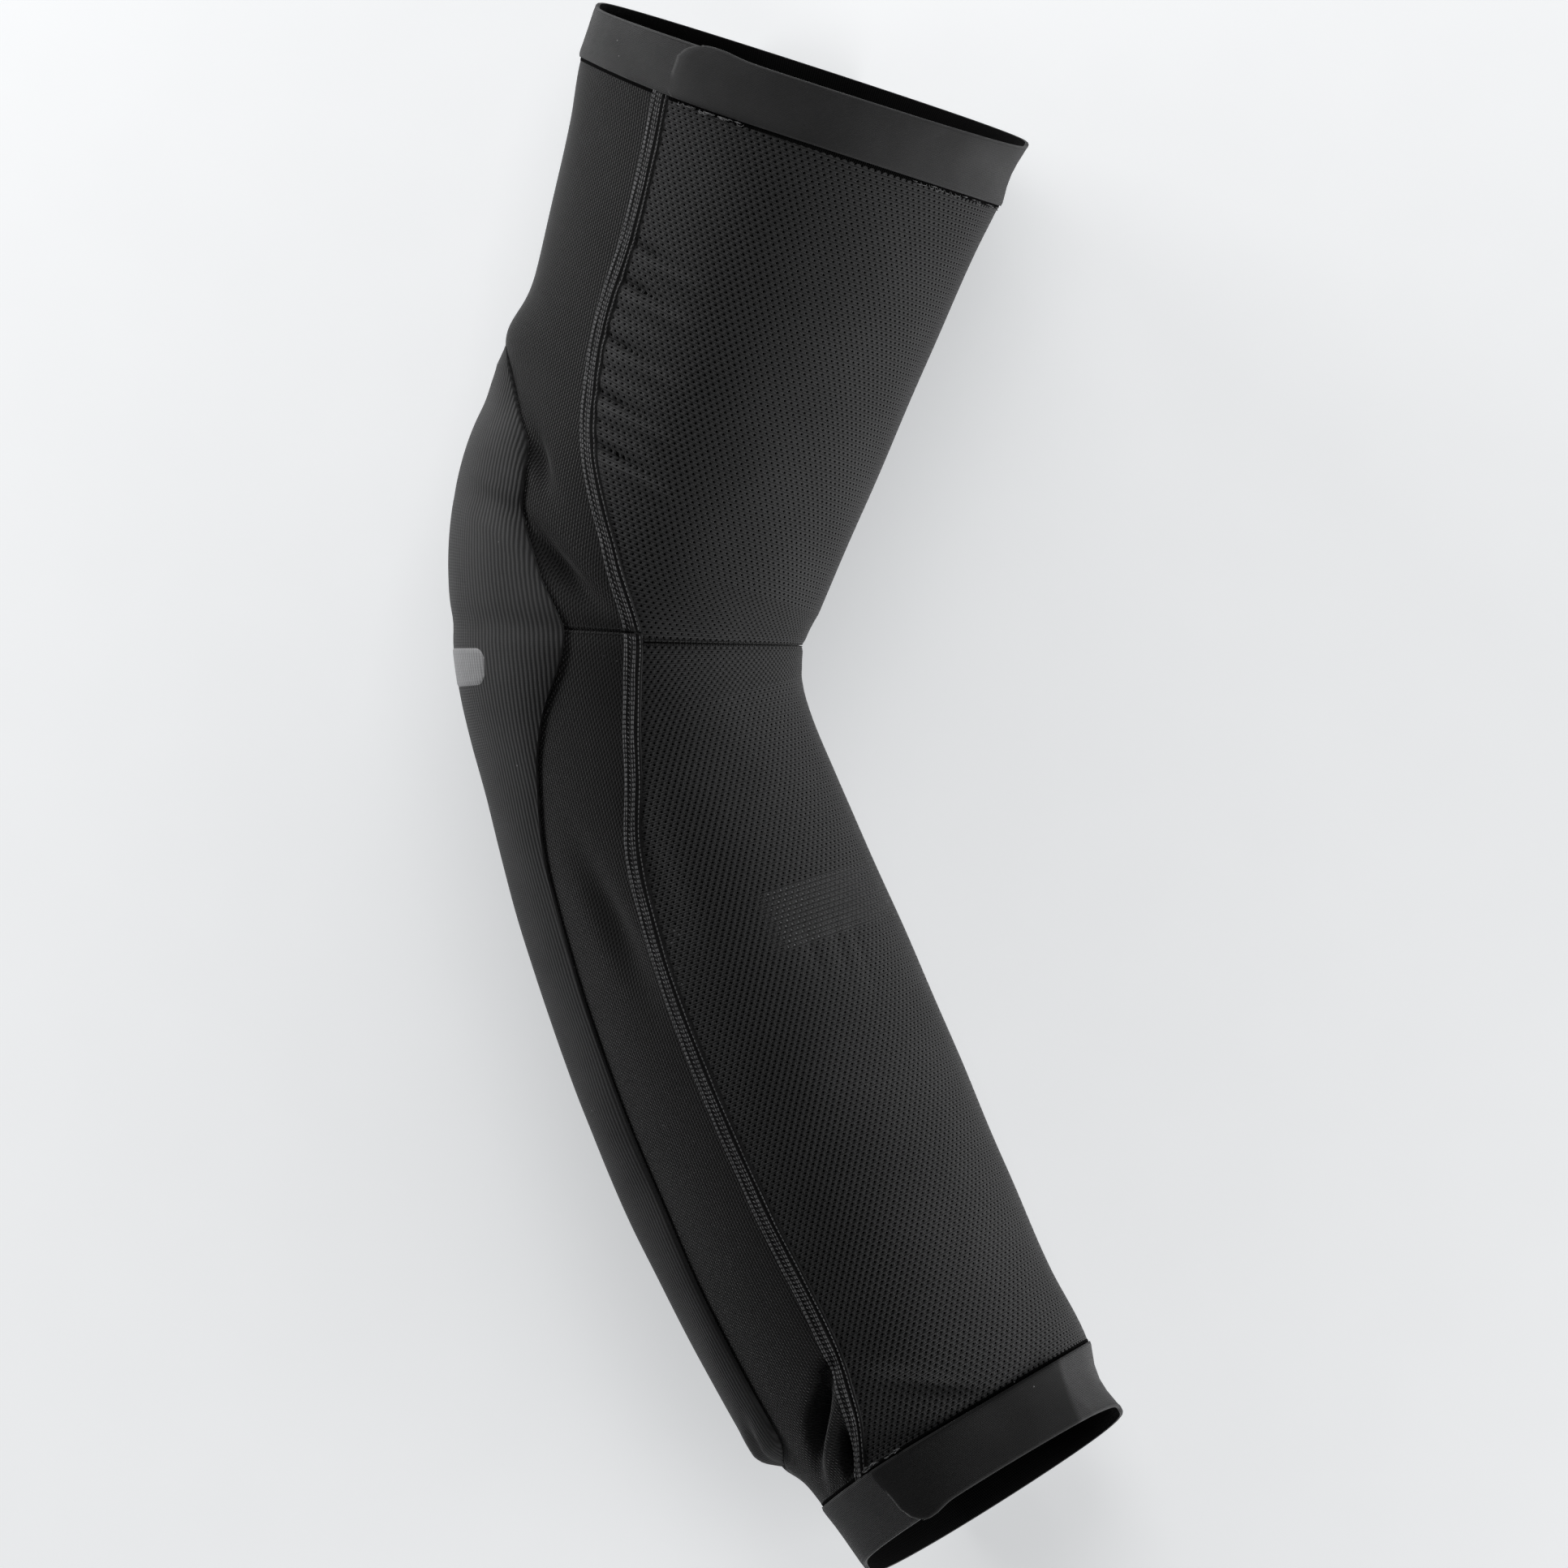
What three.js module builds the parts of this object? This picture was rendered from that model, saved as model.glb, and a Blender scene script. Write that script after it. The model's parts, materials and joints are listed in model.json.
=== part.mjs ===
// Arm sleeve with an elbow and forearm guard: a pull-on tube of knit panels between two folded cuffs,
// with a foam pad down its back. It lies on its side, pre-bent at the elbow.
// Millimetres, +Z up from the table, +Y towards the shoulder end, +X towards the crook of the elbow.
import * as THREE from 'three';

// The arm's line: lengths on each side of the elbow crease, and how far it leans from straight down
const upperLength = 146;
const forearmLength = 232;
const upperLean = -18;
const elbowLean = 13.5;
const wristLean = 32;
const bendReach = 20;

// Layers and the gaps between pieces
const panelWall = 1.2;
const clearance = 0.3;
const seamGap = 0.5;
const foamClearance = 0.55;
const gripperGap = 0.5;
const linerGap = 0.8;
const tableFlat = 0.5;

// Cuffs: a knit band folded over at the rim, round an elastic band
const upperCuffHeight = 16.5;
const lowerCuffHeight = 20;
const cuffProud = 0.6;
const cuffLayer = 0.6;
const elasticThickness = 0.5;
const upperRimDip = 2;
const lowerRimDip = 3.5;
const backHemDrop = 3;
const lapAngle = 125;
const lapProud = 0.5;

// Seams
const flatlockWidth = 4.2;
const flatlockProud = 0.4;
const creaseSeamWidth = 1.6;
const creaseStep = 2.4;
const cuffSeamWidth = 1.6;
const seamProud = 0.3;

// Pad down the back
const padAboveElbow = 59;
const padEndGap = 31;
const pinchAt = -19;
const foamSplit = 18;
const pinchDepth = 1.4;
const coverWall = 0.8;
const coverEdge = 1.2;
const linerWall = 0.4;
const foamGap = 0.8;
const padRowStep = 7.5;
const padColumn = 1 / 6;
const padEndRow = 3;
const linerTopInset = 9;
const linerBottomInset = 7;
const foamTopInset = 12;
const foamBottomInset = 8;

// Silicone gripper inside the forearm, and the plain bar on the pad
const gripperAt = 70;
const gripperHeight = 18;
const gripperThickness = 0.8;
const barAt = 3;
const barHeight = 6;
const barThickness = 0.4;

// Outline of the sleeve without its pad, as a share of each length from the elbow:
// reach from the arm's line to the back, reach to the crook side, half depth
const upperOutline = [
  [1.0, 52.4, 58.9, 43.8],
  [0.9, 52.0, 57.2, 43.3],
  [0.8, 49.9, 55.1, 42.5],
  [0.63, 47.6, 52.6, 41.5],
  [0.45, 45.4, 50.1, 40.5],
  [0.34, 44.0, 48.6, 40.0],
  [0.22, 43.0, 47.0, 39.3],
  [0.1, 40.2, 45.3, 38.5],
];
const forearmOutline = [
  [0.0, 36.5, 43.7, 38.0],
  [0.06, 34.8, 42.7, 37.6],
  [0.11, 34.6, 42.0, 37.5],
  [0.2, 34.8, 44.2, 37.6],
  [0.39, 35.1, 48.7, 38.0],
  [0.56, 35.0, 49.9, 37.5],
  [0.69, 35.0, 49.2, 36.5],
  [0.82, 34.0, 47.5, 34.5],
  [0.89, 31.2, 47.3, 33.0],
  [0.94, 29.8, 46.0, 32.3],
  [1.0, 28.7, 44.6, 31.3],
];

// Flatlock seam between back and front panels: distance from the elbow, angle round the arm from the crook
const flatlockOutline = [
  [-128, 127.5],
  [-95, 126.2],
  [-71, 127.4],
  [-51, 123.9],
  [-40, 118.9],
  [-29, 111.2],
  [-19, 103.5],
  [-8, 96.1],
  [0, 93.2],
  [11, 94.5],
  [23, 98.0],
  [35, 102.5],
  [50, 109.8],
  [64, 112.7],
  [90, 114.8],
  [140, 114.2],
  [180, 113.4],
  [198, 119.7],
  [212, 133.0],
];

// Pad outline: distance from the elbow, half width round the back, height over the panels
const padOutline = [
  [-50, 13, 4.5],
  [-44, 20, 5.4],
  [-38, 25.7, 6.3],
  [-28, 28.6, 7.0],
  [-20, 29.3, 7.3],
  [-12, 36.0, 6.8],
  [-2, 41.8, 6.5],
  [6, 40.0, 6.3],
  [18, 30.5, 5.8],
  [29, 25.3, 5.6],
  [50, 19.5, 5.7],
  [90, 17.5, 5.8],
  [130, 16.8, 5.8],
  [170, 16.0, 5.3],
  [188, 15.0, 5.6],
  [195, 13.0, 5.9],
  [198, 10.0, 4.8],
];

// Soft folds: where they are, how they run, how long, wide and deep they are. Over the two ends of the
// foam the cloth swells instead.
const softFolds = [
  { along: -16, angle: 124, turn: -38, length: 14, width: 6.5, depth: 1.8 },
  { along: 58, angle: 104, turn: -12, length: 11, width: 4.5, depth: 1.0 },
  { along: 66, angle: 131, turn: 4, length: 16, width: 6, depth: 1.2 },
  { along: 196, angle: 131, turn: 24, length: 9, width: 4.5, depth: 2.4 },
  { along: 206, angle: 141, turn: 8, length: 6, width: 4, depth: 1.6 },
  { along: 197, angle: 92, turn: -64, length: 13, width: 4.5, depth: 1.1 },
  { along: -62, angle: 180, turn: 0, length: 8.5, width: 17, depth: -3.4 },
  { along: 201.5, angle: 180, turn: 0, length: 4, width: 12, depth: -2.0 },
];

const radians = THREE.MathUtils.degToRad;
const degrees = THREE.MathUtils.radToDeg;
const lerp = THREE.MathUtils.lerp;
const clamp = THREE.MathUtils.clamp;

// A smooth curve through hand-picked points, one value or several for each
function through(points) {
  const slope = (i, k) => {
    const a = points[Math.max(i - 1, 0)];
    const b = points[Math.min(i + 1, points.length - 1)];
    return (b[k] - a[k]) / (b[0] - a[0]);
  };
  return (x, k = 1) => {
    const last = points.length - 2;
    let i = points.findIndex((point) => point[0] > x) - 1;
    if (i < 0) i = x < points[0][0] ? 0 : last;
    const [p, q] = [points[i], points[i + 1]];
    const span = q[0] - p[0];
    const t = (x - p[0]) / span;
    if (t < 0) return p[k] + slope(0, k) * (x - p[0]);
    if (t > 1) return q[k] + slope(last + 1, k) * (x - q[0]);
    const rise = (1 + 2 * t) * (1 - t) ** 2 * p[k] + t * t * (3 - 2 * t) * q[k];
    return rise + span * (t * (1 - t) ** 2 * slope(i, k) - t * t * (1 - t) * slope(i + 1, k));
  };
}

const outline = through([
  ...upperOutline.map(([share, ...reach]) => [-share * upperLength, ...reach]),
  ...forearmOutline.map(([share, ...reach]) => [share * forearmLength, ...reach]),
]);
const flatlockAngle = through(flatlockOutline);
const padTop = -padAboveElbow;
const padBottom = forearmLength - padEndGap;
const padShape = through([[padTop, 3, coverEdge], ...padOutline, [padBottom, 3.5, coverEdge]]);

// Lean of the arm's line and its place, as straight and arc stretches joined at the elbow
function lean(along) {
  const turn = (along + bendReach) / (2 * bendReach);
  if (along < bendReach) return lerp(upperLean, elbowLean, clamp(turn, 0, 1));
  return lerp(elbowLean, wristLean, (along - bendReach) / (forearmLength - bendReach));
}

function arc(from, to, length) {
  const half = radians(to - from) / 2;
  const chord = half === 0 ? length : (length * Math.sin(half)) / half;
  const middle = radians(from + to) / 2;
  return new THREE.Vector2(Math.sin(middle) * chord, -Math.cos(middle) * chord);
}

function armLine(along) {
  const bend = clamp(along, -bendReach, bendReach);
  return arc(lean(0), lean(bend), bend).add(arc(lean(bend), lean(along), along - bend));
}

function reachAt(along) {
  const back = outline(along, 1);
  const crook = outline(along, 2);
  return { middle: (crook - back) / 2, half: (crook + back) / 2, depth: outline(along, 3) };
}

function degreesFor(arcLength, along) {
  const reach = reachAt(along);
  return degrees((2 * arcLength) / (reach.half + reach.depth));
}

// Hollow of the soft folds at a place; the far side mirrors the near side
function foldHollow(along, angle) {
  const side = Math.abs(angle > 180 ? angle - 360 : angle);
  return softFolds.reduce((sum, fold) => {
    const down = along - fold.along;
    const round = (side - fold.angle) / degreesFor(1, fold.along);
    const turn = radians(fold.turn);
    const lengthwise = down * Math.cos(turn) + round * Math.sin(turn);
    const crosswise = round * Math.cos(turn) - down * Math.sin(turn);
    return sum - fold.depth * Math.exp(-((lengthwise / fold.length) ** 2) - (crosswise / fold.width) ** 2);
  }, 0);
}

// A point on the sleeve: distance from the elbow, angle from the crook, height over the panels.
// top is the height of the outermost face there, which lies flat on the table.
function place(along, angle, height, top = 0) {
  const reach = reachAt(along);
  const rise = height + foldHollow(along, angle);
  const turn = radians(angle);
  const across = reach.middle + (reach.half + rise) * Math.cos(turn);
  const z = reach.depth - tableFlat + (reach.depth + rise) * Math.sin(turn);
  const direction = radians(lean(along));
  const centre = armLine(along);
  const x = centre.x + across * Math.cos(direction);
  const y = centre.y + across * Math.sin(direction);
  return new THREE.Vector3(x, y, Math.max(z, top - height));
}

// Rims and hems: near the table they stand out, on the upper side they are set back
function rim(end, angle) {
  const s = Math.sin(radians(angle));
  const dip = Math.sign(s) * Math.sqrt(Math.abs(s));
  return end < 0 ? -upperLength + upperRimDip * dip : forearmLength - lowerRimDip * dip;
}

function hem(end, angle) {
  const back = Math.max(0, -Math.cos(radians(angle))) ** 3;
  if (end < 0) return -upperLength + upperCuffHeight - backHemDrop * back;
  return forearmLength - lowerCuffHeight + backHemDrop * back * 0.7;
}

// Closed meshes
function closedMesh(name, points, faces, finish) {
  const volume = faces.reduce((sum, [a, b, c]) => {
    return sum + points[a].dot(points[b].clone().cross(points[c]));
  }, 0);
  const index = faces.flatMap(([a, b, c]) => (volume > 0 ? [a, b, c] : [a, c, b]));
  const geometry = new THREE.BufferGeometry();
  geometry.setAttribute('position', new THREE.Float32BufferAttribute(points.flatMap((p) => p.toArray()), 3));
  geometry.setIndex(index);
  geometry.computeVertexNormals();
  const mesh = new THREE.Mesh(geometry, new THREE.MeshStandardMaterial({ metalness: 0, ...finish }));
  mesh.name = name;
  return mesh;
}

// A sheet with an outer and an inner face, given as points over u and v from 0 to 1
function sheet(name, columns, rows, pointAt, finish) {
  const points = [];
  for (const face of ['outer', 'inner']) {
    for (let j = 0; j <= rows; j += 1) {
      for (let i = 0; i <= columns; i += 1) points.push(pointAt(i / columns, j / rows, face));
    }
  }
  const layer = (columns + 1) * (rows + 1);
  const at = (i, j) => j * (columns + 1) + i;
  const faces = [];
  const quad = (a, b, c, d) => faces.push([a, b, c], [a, c, d]);
  for (let j = 0; j < rows; j += 1) {
    for (let i = 0; i < columns; i += 1) {
      const corners = [at(i, j), at(i + 1, j), at(i + 1, j + 1), at(i, j + 1)];
      quad(...corners);
      quad(...corners.map((corner) => corner + layer).reverse());
    }
  }
  const wall = (a, b) => quad(b, a, a + layer, b + layer);
  for (let i = 0; i < columns; i += 1) {
    wall(at(i, 0), at(i + 1, 0));
    wall(at(i + 1, rows), at(i, rows));
  }
  for (let j = 0; j < rows; j += 1) {
    wall(at(0, j + 1), at(0, j));
    wall(at(columns, j), at(columns, j + 1));
  }
  return closedMesh(name, points, faces, finish);
}

// A band right round the arm, given as the points of its section at each angle
function band(name, angles, sectionAt, finish) {
  const sections = angles.map(sectionAt);
  const count = sections[0].length;
  const faces = [];
  sections.forEach((_, i) => {
    const next = (i + 1) % sections.length;
    for (let k = 0; k < count; k += 1) {
      const [a, b] = [i * count + k, i * count + ((k + 1) % count)];
      const [d, c] = [next * count + k, next * count + ((k + 1) % count)];
      faces.push([a, b, c], [a, c, d]);
    }
  });
  return closedMesh(name, sections.flat(), faces, finish);
}

const knit = { color: 0x37373a, roughness: 0.85 };
const fineMesh = { color: 0x232324, roughness: 0.9 };
const openMesh = { color: 0x2a2a2b, roughness: 0.92 };
const ribbed = { color: 0x3c3c3e, roughness: 0.8 };
const thread = { color: 0x3f3f42, roughness: 0.85 };
const foam = { color: 0x4a4c50, roughness: 0.95 };
const lining = { color: 0x1c1c1e, roughness: 0.9 };
const elastic = { color: 0x2c2c2e, roughness: 0.8 };
const silicone = { color: 0x8a8a8c, roughness: 0.45 };
const reflective = { color: 0x737273, roughness: 0.4 };

// Panels run between the flatlock seams, from a cuff to the crease seam of the elbow
const backCrease = -1;
const frontCrease = backCrease + creaseStep;
const seamHalf = creaseSeamWidth / 2 + clearance;

function panelEdge(along) {
  return flatlockAngle(along) + degreesFor(flatlockWidth / 2 + seamGap, along);
}

function hemAt(end) {
  return end < 0 ? upperCuffHeight - upperLength : forearmLength - lowerCuffHeight;
}

function panelHem(end, angle) {
  return hem(end, angle) - end * (cuffSeamWidth + 2 * clearance);
}

function panel(name, side, end, columns, rows, finish) {
  const crease = side === 'back' ? backCrease : frontCrease;
  const pointAt = (u, v, face) => {
    const middle = lerp(crease + end * seamHalf, panelHem(end, flatlockAngle(hemAt(end))), v);
    const edge = side === 'back' ? panelEdge(middle) : 2 * flatlockAngle(middle) - panelEdge(middle);
    const angle = side === 'back' ? lerp(edge, 360 - edge, u) : lerp(-edge, edge, u);
    const seam = flatlockAngle(middle);
    const hemAngle = side === 'back' ? lerp(seam, 360 - seam, u) : lerp(-seam, seam, u);
    const along = lerp(crease + end * seamHalf, panelHem(end, hemAngle), v);
    return place(along, angle, face === 'outer' ? 0 : -panelWall);
  };
  return sheet(name, columns, rows, pointAt, finish);
}

function flatlock(name, side, end, rows) {
  const start = end < 0 ? backCrease - seamHalf : backCrease + seamHalf;
  const pointAt = (u, v, face) => {
    const along = lerp(start, panelHem(end, flatlockAngle(hemAt(end))), v);
    const angle = side * (flatlockAngle(along) + degreesFor((u - 0.5) * flatlockWidth, along));
    return place(along, angle, face === 'outer' ? flatlockProud : -panelWall, flatlockProud);
  };
  return sheet(name, 2, rows, pointAt, thread);
}

function creaseSeam(name, middle, from, to, columns) {
  const pointAt = (u, v, face) => {
    const along = middle + (v - 0.5) * creaseSeamWidth;
    const lift = 1 - Math.abs(2 * v - 1);
    const outer = seamProud * lift;
    return place(along, lerp(from, to, u), face === 'outer' ? outer : -panelWall, outer);
  };
  return sheet(name, columns, 2, pointAt, thread);
}

function creaseSeams() {
  const back = flatlockAngle(backCrease);
  const front = flatlockAngle(frontCrease) - degreesFor(flatlockWidth / 2 + seamGap, frontCrease);
  return [
    creaseSeam('back_crease_seam', backCrease, back, 360 - back, 16),
    creaseSeam('front_crease_seam', frontCrease, -front, front, 18),
  ];
}

// Cuffs start at the lap, where one end of the band lies over the other
function bandAngles(count) {
  return Array.from({ length: count }, (_, i) => lapAngle + 0.6 + (358.8 * i) / (count - 1));
}

function lap(angle) {
  const behind = (lapAngle + 360 - angle) % 360;
  return behind < 40 ? lapProud * (1 - behind / 40) ** 2 : 0;
}

const cuffDepth = 2 * cuffLayer + elasticThickness + 2 * clearance;

function cuff(name, end) {
  const foldDepth = cuffLayer + 0.6;
  const sectionAt = (angle) => {
    const [low, high] = [hem(end, angle), rim(end, angle)];
    const top = cuffProud + lap(angle);
    const bottom = cuffProud - cuffDepth;
    const at = (height, along) => place(along, angle, height, top);
    return [
      at(top, low),
      at(top, lerp(low, high, 0.5)),
      at(top, high - end * 0.8),
      at((top + bottom) / 2, high),
      at(bottom, high - end * 0.8),
      at(bottom, low),
      at(bottom + cuffLayer, low),
      at(bottom + cuffLayer, high - end * foldDepth),
      at(cuffProud - cuffLayer, high - end * foldDepth),
      at(cuffProud - cuffLayer, low),
    ];
  };
  return band(name, bandAngles(32), sectionAt, knit);
}

function cuffElastic(name, end) {
  const sectionAt = (angle) => {
    const low = hem(end, angle) + end * 1;
    const high = rim(end, angle) - end * (cuffLayer + 0.6 + clearance);
    const outer = cuffProud - cuffLayer - clearance;
    const inner = outer - elasticThickness;
    const top = cuffProud + lap(angle);
    const at = (height, along) => place(along, angle, height, top);
    return [at(outer, low), at(outer, high), at(inner, high), at(inner, low)];
  };
  return band(name, bandAngles(32), sectionAt, elastic);
}

function cuffSeam(name, end) {
  const sectionAt = (angle) => {
    const low = hem(end, angle) - end * (clearance + cuffSeamWidth);
    const high = hem(end, angle) - end * clearance;
    const at = (height, along) => place(along, angle, height, seamProud);
    return [at(0, low), at(seamProud, (low + high) / 2), at(0, high), at(-panelWall, high), at(-panelWall, low)];
  };
  return band(name, bandAngles(32), sectionAt, thread);
}

// Pad: u runs across it from -1 to 1, and the height of its cover is a dome that ends in a sewn edge
function crown(u) {
  return (1 - Math.abs(u) ** 2.6) ** 0.75;
}

function padAngle(along, u) {
  return 180 - u * degreesFor(padShape(along, 1), along);
}

function coverHeight(along, u) {
  const pinch = pinchDepth * Math.exp(-(((along - pinchAt) / 4) ** 2)) * Math.abs(u) ** 0.5;
  const rise = Math.max(padShape(along, 2) - pinch - coverEdge, 0);
  return coverEdge + rise * crown(u);
}

// Every layer of the pad shares these rows and columns, so that the layers nest
function padRows(from, to) {
  const steps = Math.round((padBottom - padTop) / padRowStep);
  const even = Array.from({ length: steps + 1 }, (_, i) => lerp(padTop, padBottom, i / steps));
  const clearOfPinch = even.filter((along) => Math.abs(along - pinchAt) > padRowStep * 0.7);
  const extra = [padTop + padEndRow, pinchAt - 3.5, pinchAt, pinchAt + 3.5, padBottom - padEndRow];
  const inside = [...clearOfPinch, ...extra].filter((along) => {
    return along > from + 1.2 && along < to - 1.2;
  });
  return [from, ...inside, to].sort((a, b) => a - b);
}

function padSheet(name, from, to, spread, heights, finish) {
  const rows = padRows(from, to);
  const columns = Math.round((2 * spread) / padColumn);
  const pointAt = (s, t, face) => {
    const u = lerp(-spread, spread, s);
    const along = rows[Math.round(t * (rows.length - 1))];
    return place(along, padAngle(along, u), heights(along, u)[face]);
  };
  return sheet(name, columns, rows.length - 1, pointAt, finish);
}

const linerTop = linerGap + linerWall;

function padCover() {
  const heights = (along, u) => {
    const outer = coverHeight(along, u);
    return { outer, inner: outer - coverWall };
  };
  return padSheet('pad_cover', padTop, padBottom, 1, heights, ribbed);
}

function padLiner() {
  const heights = () => ({ outer: linerTop, inner: linerGap });
  return padSheet('pad_liner', padTop + linerTopInset, padBottom - linerBottomInset, 5 * padColumn, heights, lining);
}

function padFoam(name, from, to) {
  const heights = (along, u) => {
    return { outer: coverHeight(along, u) - coverWall - foamClearance, inner: linerTop + foamClearance };
  };
  return padSheet(name, from, to, 5 * padColumn, heights, foam);
}

function reflectiveBar() {
  const heights = (along, u) => {
    const inner = coverHeight(along, u) + clearance;
    return { outer: inner + barThickness, inner };
  };
  return padSheet('reflective_bar', barAt, barAt + barHeight, 3 * padColumn, heights, reflective);
}

function gripperBand() {
  const pointAt = (u, v, face) => {
    const along = gripperAt + v * gripperHeight;
    const edge = 2 * flatlockAngle(along) - panelEdge(along);
    const outer = -panelWall - gripperGap;
    return place(along, lerp(-edge, edge, u), face === 'outer' ? outer : outer - gripperThickness);
  };
  return sheet('gripper_band', 20, 3, pointAt, silicone);
}

// Rows of facets along each half, the same for neighbouring pieces so that their edges keep apart
const upperRows = 14;
const lowerRows = 24;

const sleeve = new THREE.Group();
sleeve.add(
  cuff('upper_cuff', -1),
  cuffElastic('upper_cuff_elastic', -1),
  cuffSeam('upper_cuff_seam', -1),
  panel('upper_back_panel', 'back', -1, 14, upperRows, fineMesh),
  panel('upper_front_panel', 'front', -1, 20, upperRows, openMesh),
  flatlock('near_upper_flatlock', 1, -1, upperRows),
  flatlock('far_upper_flatlock', -1, -1, upperRows),
  ...creaseSeams(),
  panel('lower_back_panel', 'back', 1, 14, lowerRows, fineMesh),
  panel('lower_front_panel', 'front', 1, 20, lowerRows, openMesh),
  flatlock('near_lower_flatlock', 1, 1, lowerRows),
  flatlock('far_lower_flatlock', -1, 1, lowerRows),
  cuffSeam('lower_cuff_seam', 1),
  cuffElastic('lower_cuff_elastic', 1),
  cuff('lower_cuff', 1),
  gripperBand(),
  padLiner(),
  padFoam('upper_foam', padTop + foamTopInset, pinchAt - foamGap / 2),
  padFoam('elbow_foam', pinchAt + foamGap / 2, foamSplit - foamGap / 2),
  padFoam('forearm_foam', foamSplit + foamGap / 2, padBottom - foamBottomInset),
  padCover(),
  reflectiveBar(),
);

// The origin is the middle of the footprint, on the table
const bounds = new THREE.Box3().setFromObject(sleeve);
const footprint = bounds.getCenter(new THREE.Vector3());
sleeve.position.set(-footprint.x, -footprint.y, -bounds.min.z);

export default sleeve;
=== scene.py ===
# %% [markdown]
# # A pre-bent arm sleeve with an elbow and forearm guard
# The sleeve is a tube of knitted panels between two folded cuffs, and a foam pad runs down its back.
# It lies on its side on a table, bent at the elbow by about forty degrees, as on a studio form.
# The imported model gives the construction, and this lesson gives every piece its cloth, stitches and folds.

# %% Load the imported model
import json
import math

import bpy
import numpy as np
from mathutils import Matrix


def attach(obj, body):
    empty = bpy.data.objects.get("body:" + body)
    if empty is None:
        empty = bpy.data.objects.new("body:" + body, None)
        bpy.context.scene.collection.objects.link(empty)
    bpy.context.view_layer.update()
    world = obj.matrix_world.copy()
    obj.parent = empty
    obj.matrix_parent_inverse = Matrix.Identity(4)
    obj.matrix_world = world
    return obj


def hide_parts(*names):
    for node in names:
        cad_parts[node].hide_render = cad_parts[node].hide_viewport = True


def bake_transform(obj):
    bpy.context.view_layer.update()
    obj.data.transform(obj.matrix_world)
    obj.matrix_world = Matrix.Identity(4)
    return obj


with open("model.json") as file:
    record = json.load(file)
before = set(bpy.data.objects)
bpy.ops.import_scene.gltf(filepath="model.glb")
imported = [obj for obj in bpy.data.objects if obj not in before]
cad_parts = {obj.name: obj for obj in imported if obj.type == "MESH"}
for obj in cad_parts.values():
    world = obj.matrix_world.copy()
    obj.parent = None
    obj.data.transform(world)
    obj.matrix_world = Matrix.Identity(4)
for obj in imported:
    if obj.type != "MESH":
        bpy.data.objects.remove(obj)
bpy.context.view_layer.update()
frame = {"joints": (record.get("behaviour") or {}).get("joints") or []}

# %% [markdown]
# ## Camera, floor and light
# The photograph looks straight down on the sleeve, with the shoulder end up. A camera without perspective
# keeps both rims as flat as they are there. The light is two long, low soft boxes close to the table, one
# on the upper left and one on the lower right, and a pale table that glows a little. They brighten the
# edges of dark cloth and leave its middle dark. A weak box beyond the shoulder end rakes over the short
# folds, and a square one high above that end keeps the middle from going black.

# %% Camera
photo_width = 0.3864
photo_centre = (-0.00041, 0.00077)
camera_height = 1.5

lens = bpy.data.cameras.new("Camera")
lens.type = "ORTHO"
lens.ortho_scale = photo_width
camera = bpy.data.objects.new("Camera", lens)
camera.location = (*photo_centre, camera_height)
bpy.context.scene.collection.objects.link(camera)
bpy.context.scene.camera = camera
bpy.context.scene.view_settings.view_transform = "Standard"
print("camera covers", photo_width, "m from straight above")

# %% Soft boxes
lights = [
    ("left soft box", (-0.82, 0.45, 0.2), (0.9, 0.2), 8.0),
    ("right soft box", (0.9, -0.62, 0.15), (1.1, 0.2), 16.0),
    ("upper soft box", (0.05, 1.0, 0.26), (0.8, 0.2), 3.0),
    ("overhead soft box", (0.0, 0.85, 1.05), (0.8, 0.8), 4.6),
]
lit_place = np.array((0, 0, 0.04))
for label, where, size, watts in lights:
    lamp = bpy.data.lights.new(label, "AREA")
    lamp.shape = "RECTANGLE"
    lamp.size, lamp.size_y = size
    lamp.energy = watts
    box = bpy.data.objects.new(label, lamp)
    box.location = where
    way = lit_place - np.array(box.location)
    box.rotation_euler = (
        math.atan2(math.hypot(way[0], way[1]), -way[2]),
        0,
        math.atan2(way[0], -way[1]) + math.pi,
    )
    bpy.context.scene.collection.objects.link(box)
world = bpy.data.worlds.new("Studio air")
world.use_nodes = True
air = world.node_tree.nodes["Background"].inputs
air["Color"].default_value = (0.9, 0.92, 0.95, 1)
air["Strength"].default_value = 0.02
bpy.context.scene.world = world
print("lights:", [label for label, *_ in lights])

# %% [markdown]
# ## The shape of the arm
# A sleeve is laid out from the arm it is made for. A curved line runs down the middle of the arm: nearly
# straight, then a short bend at the elbow, then a long slow curve to the wrist. Across it, each place has a
# reach to the back of the arm, a reach to the crook side and a half depth. Every piece is placed by its
# distance along that line, its angle round the arm and its height over the cloth of the panels, so that
# neighbours always fit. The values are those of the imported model, in millimetres.

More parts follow.
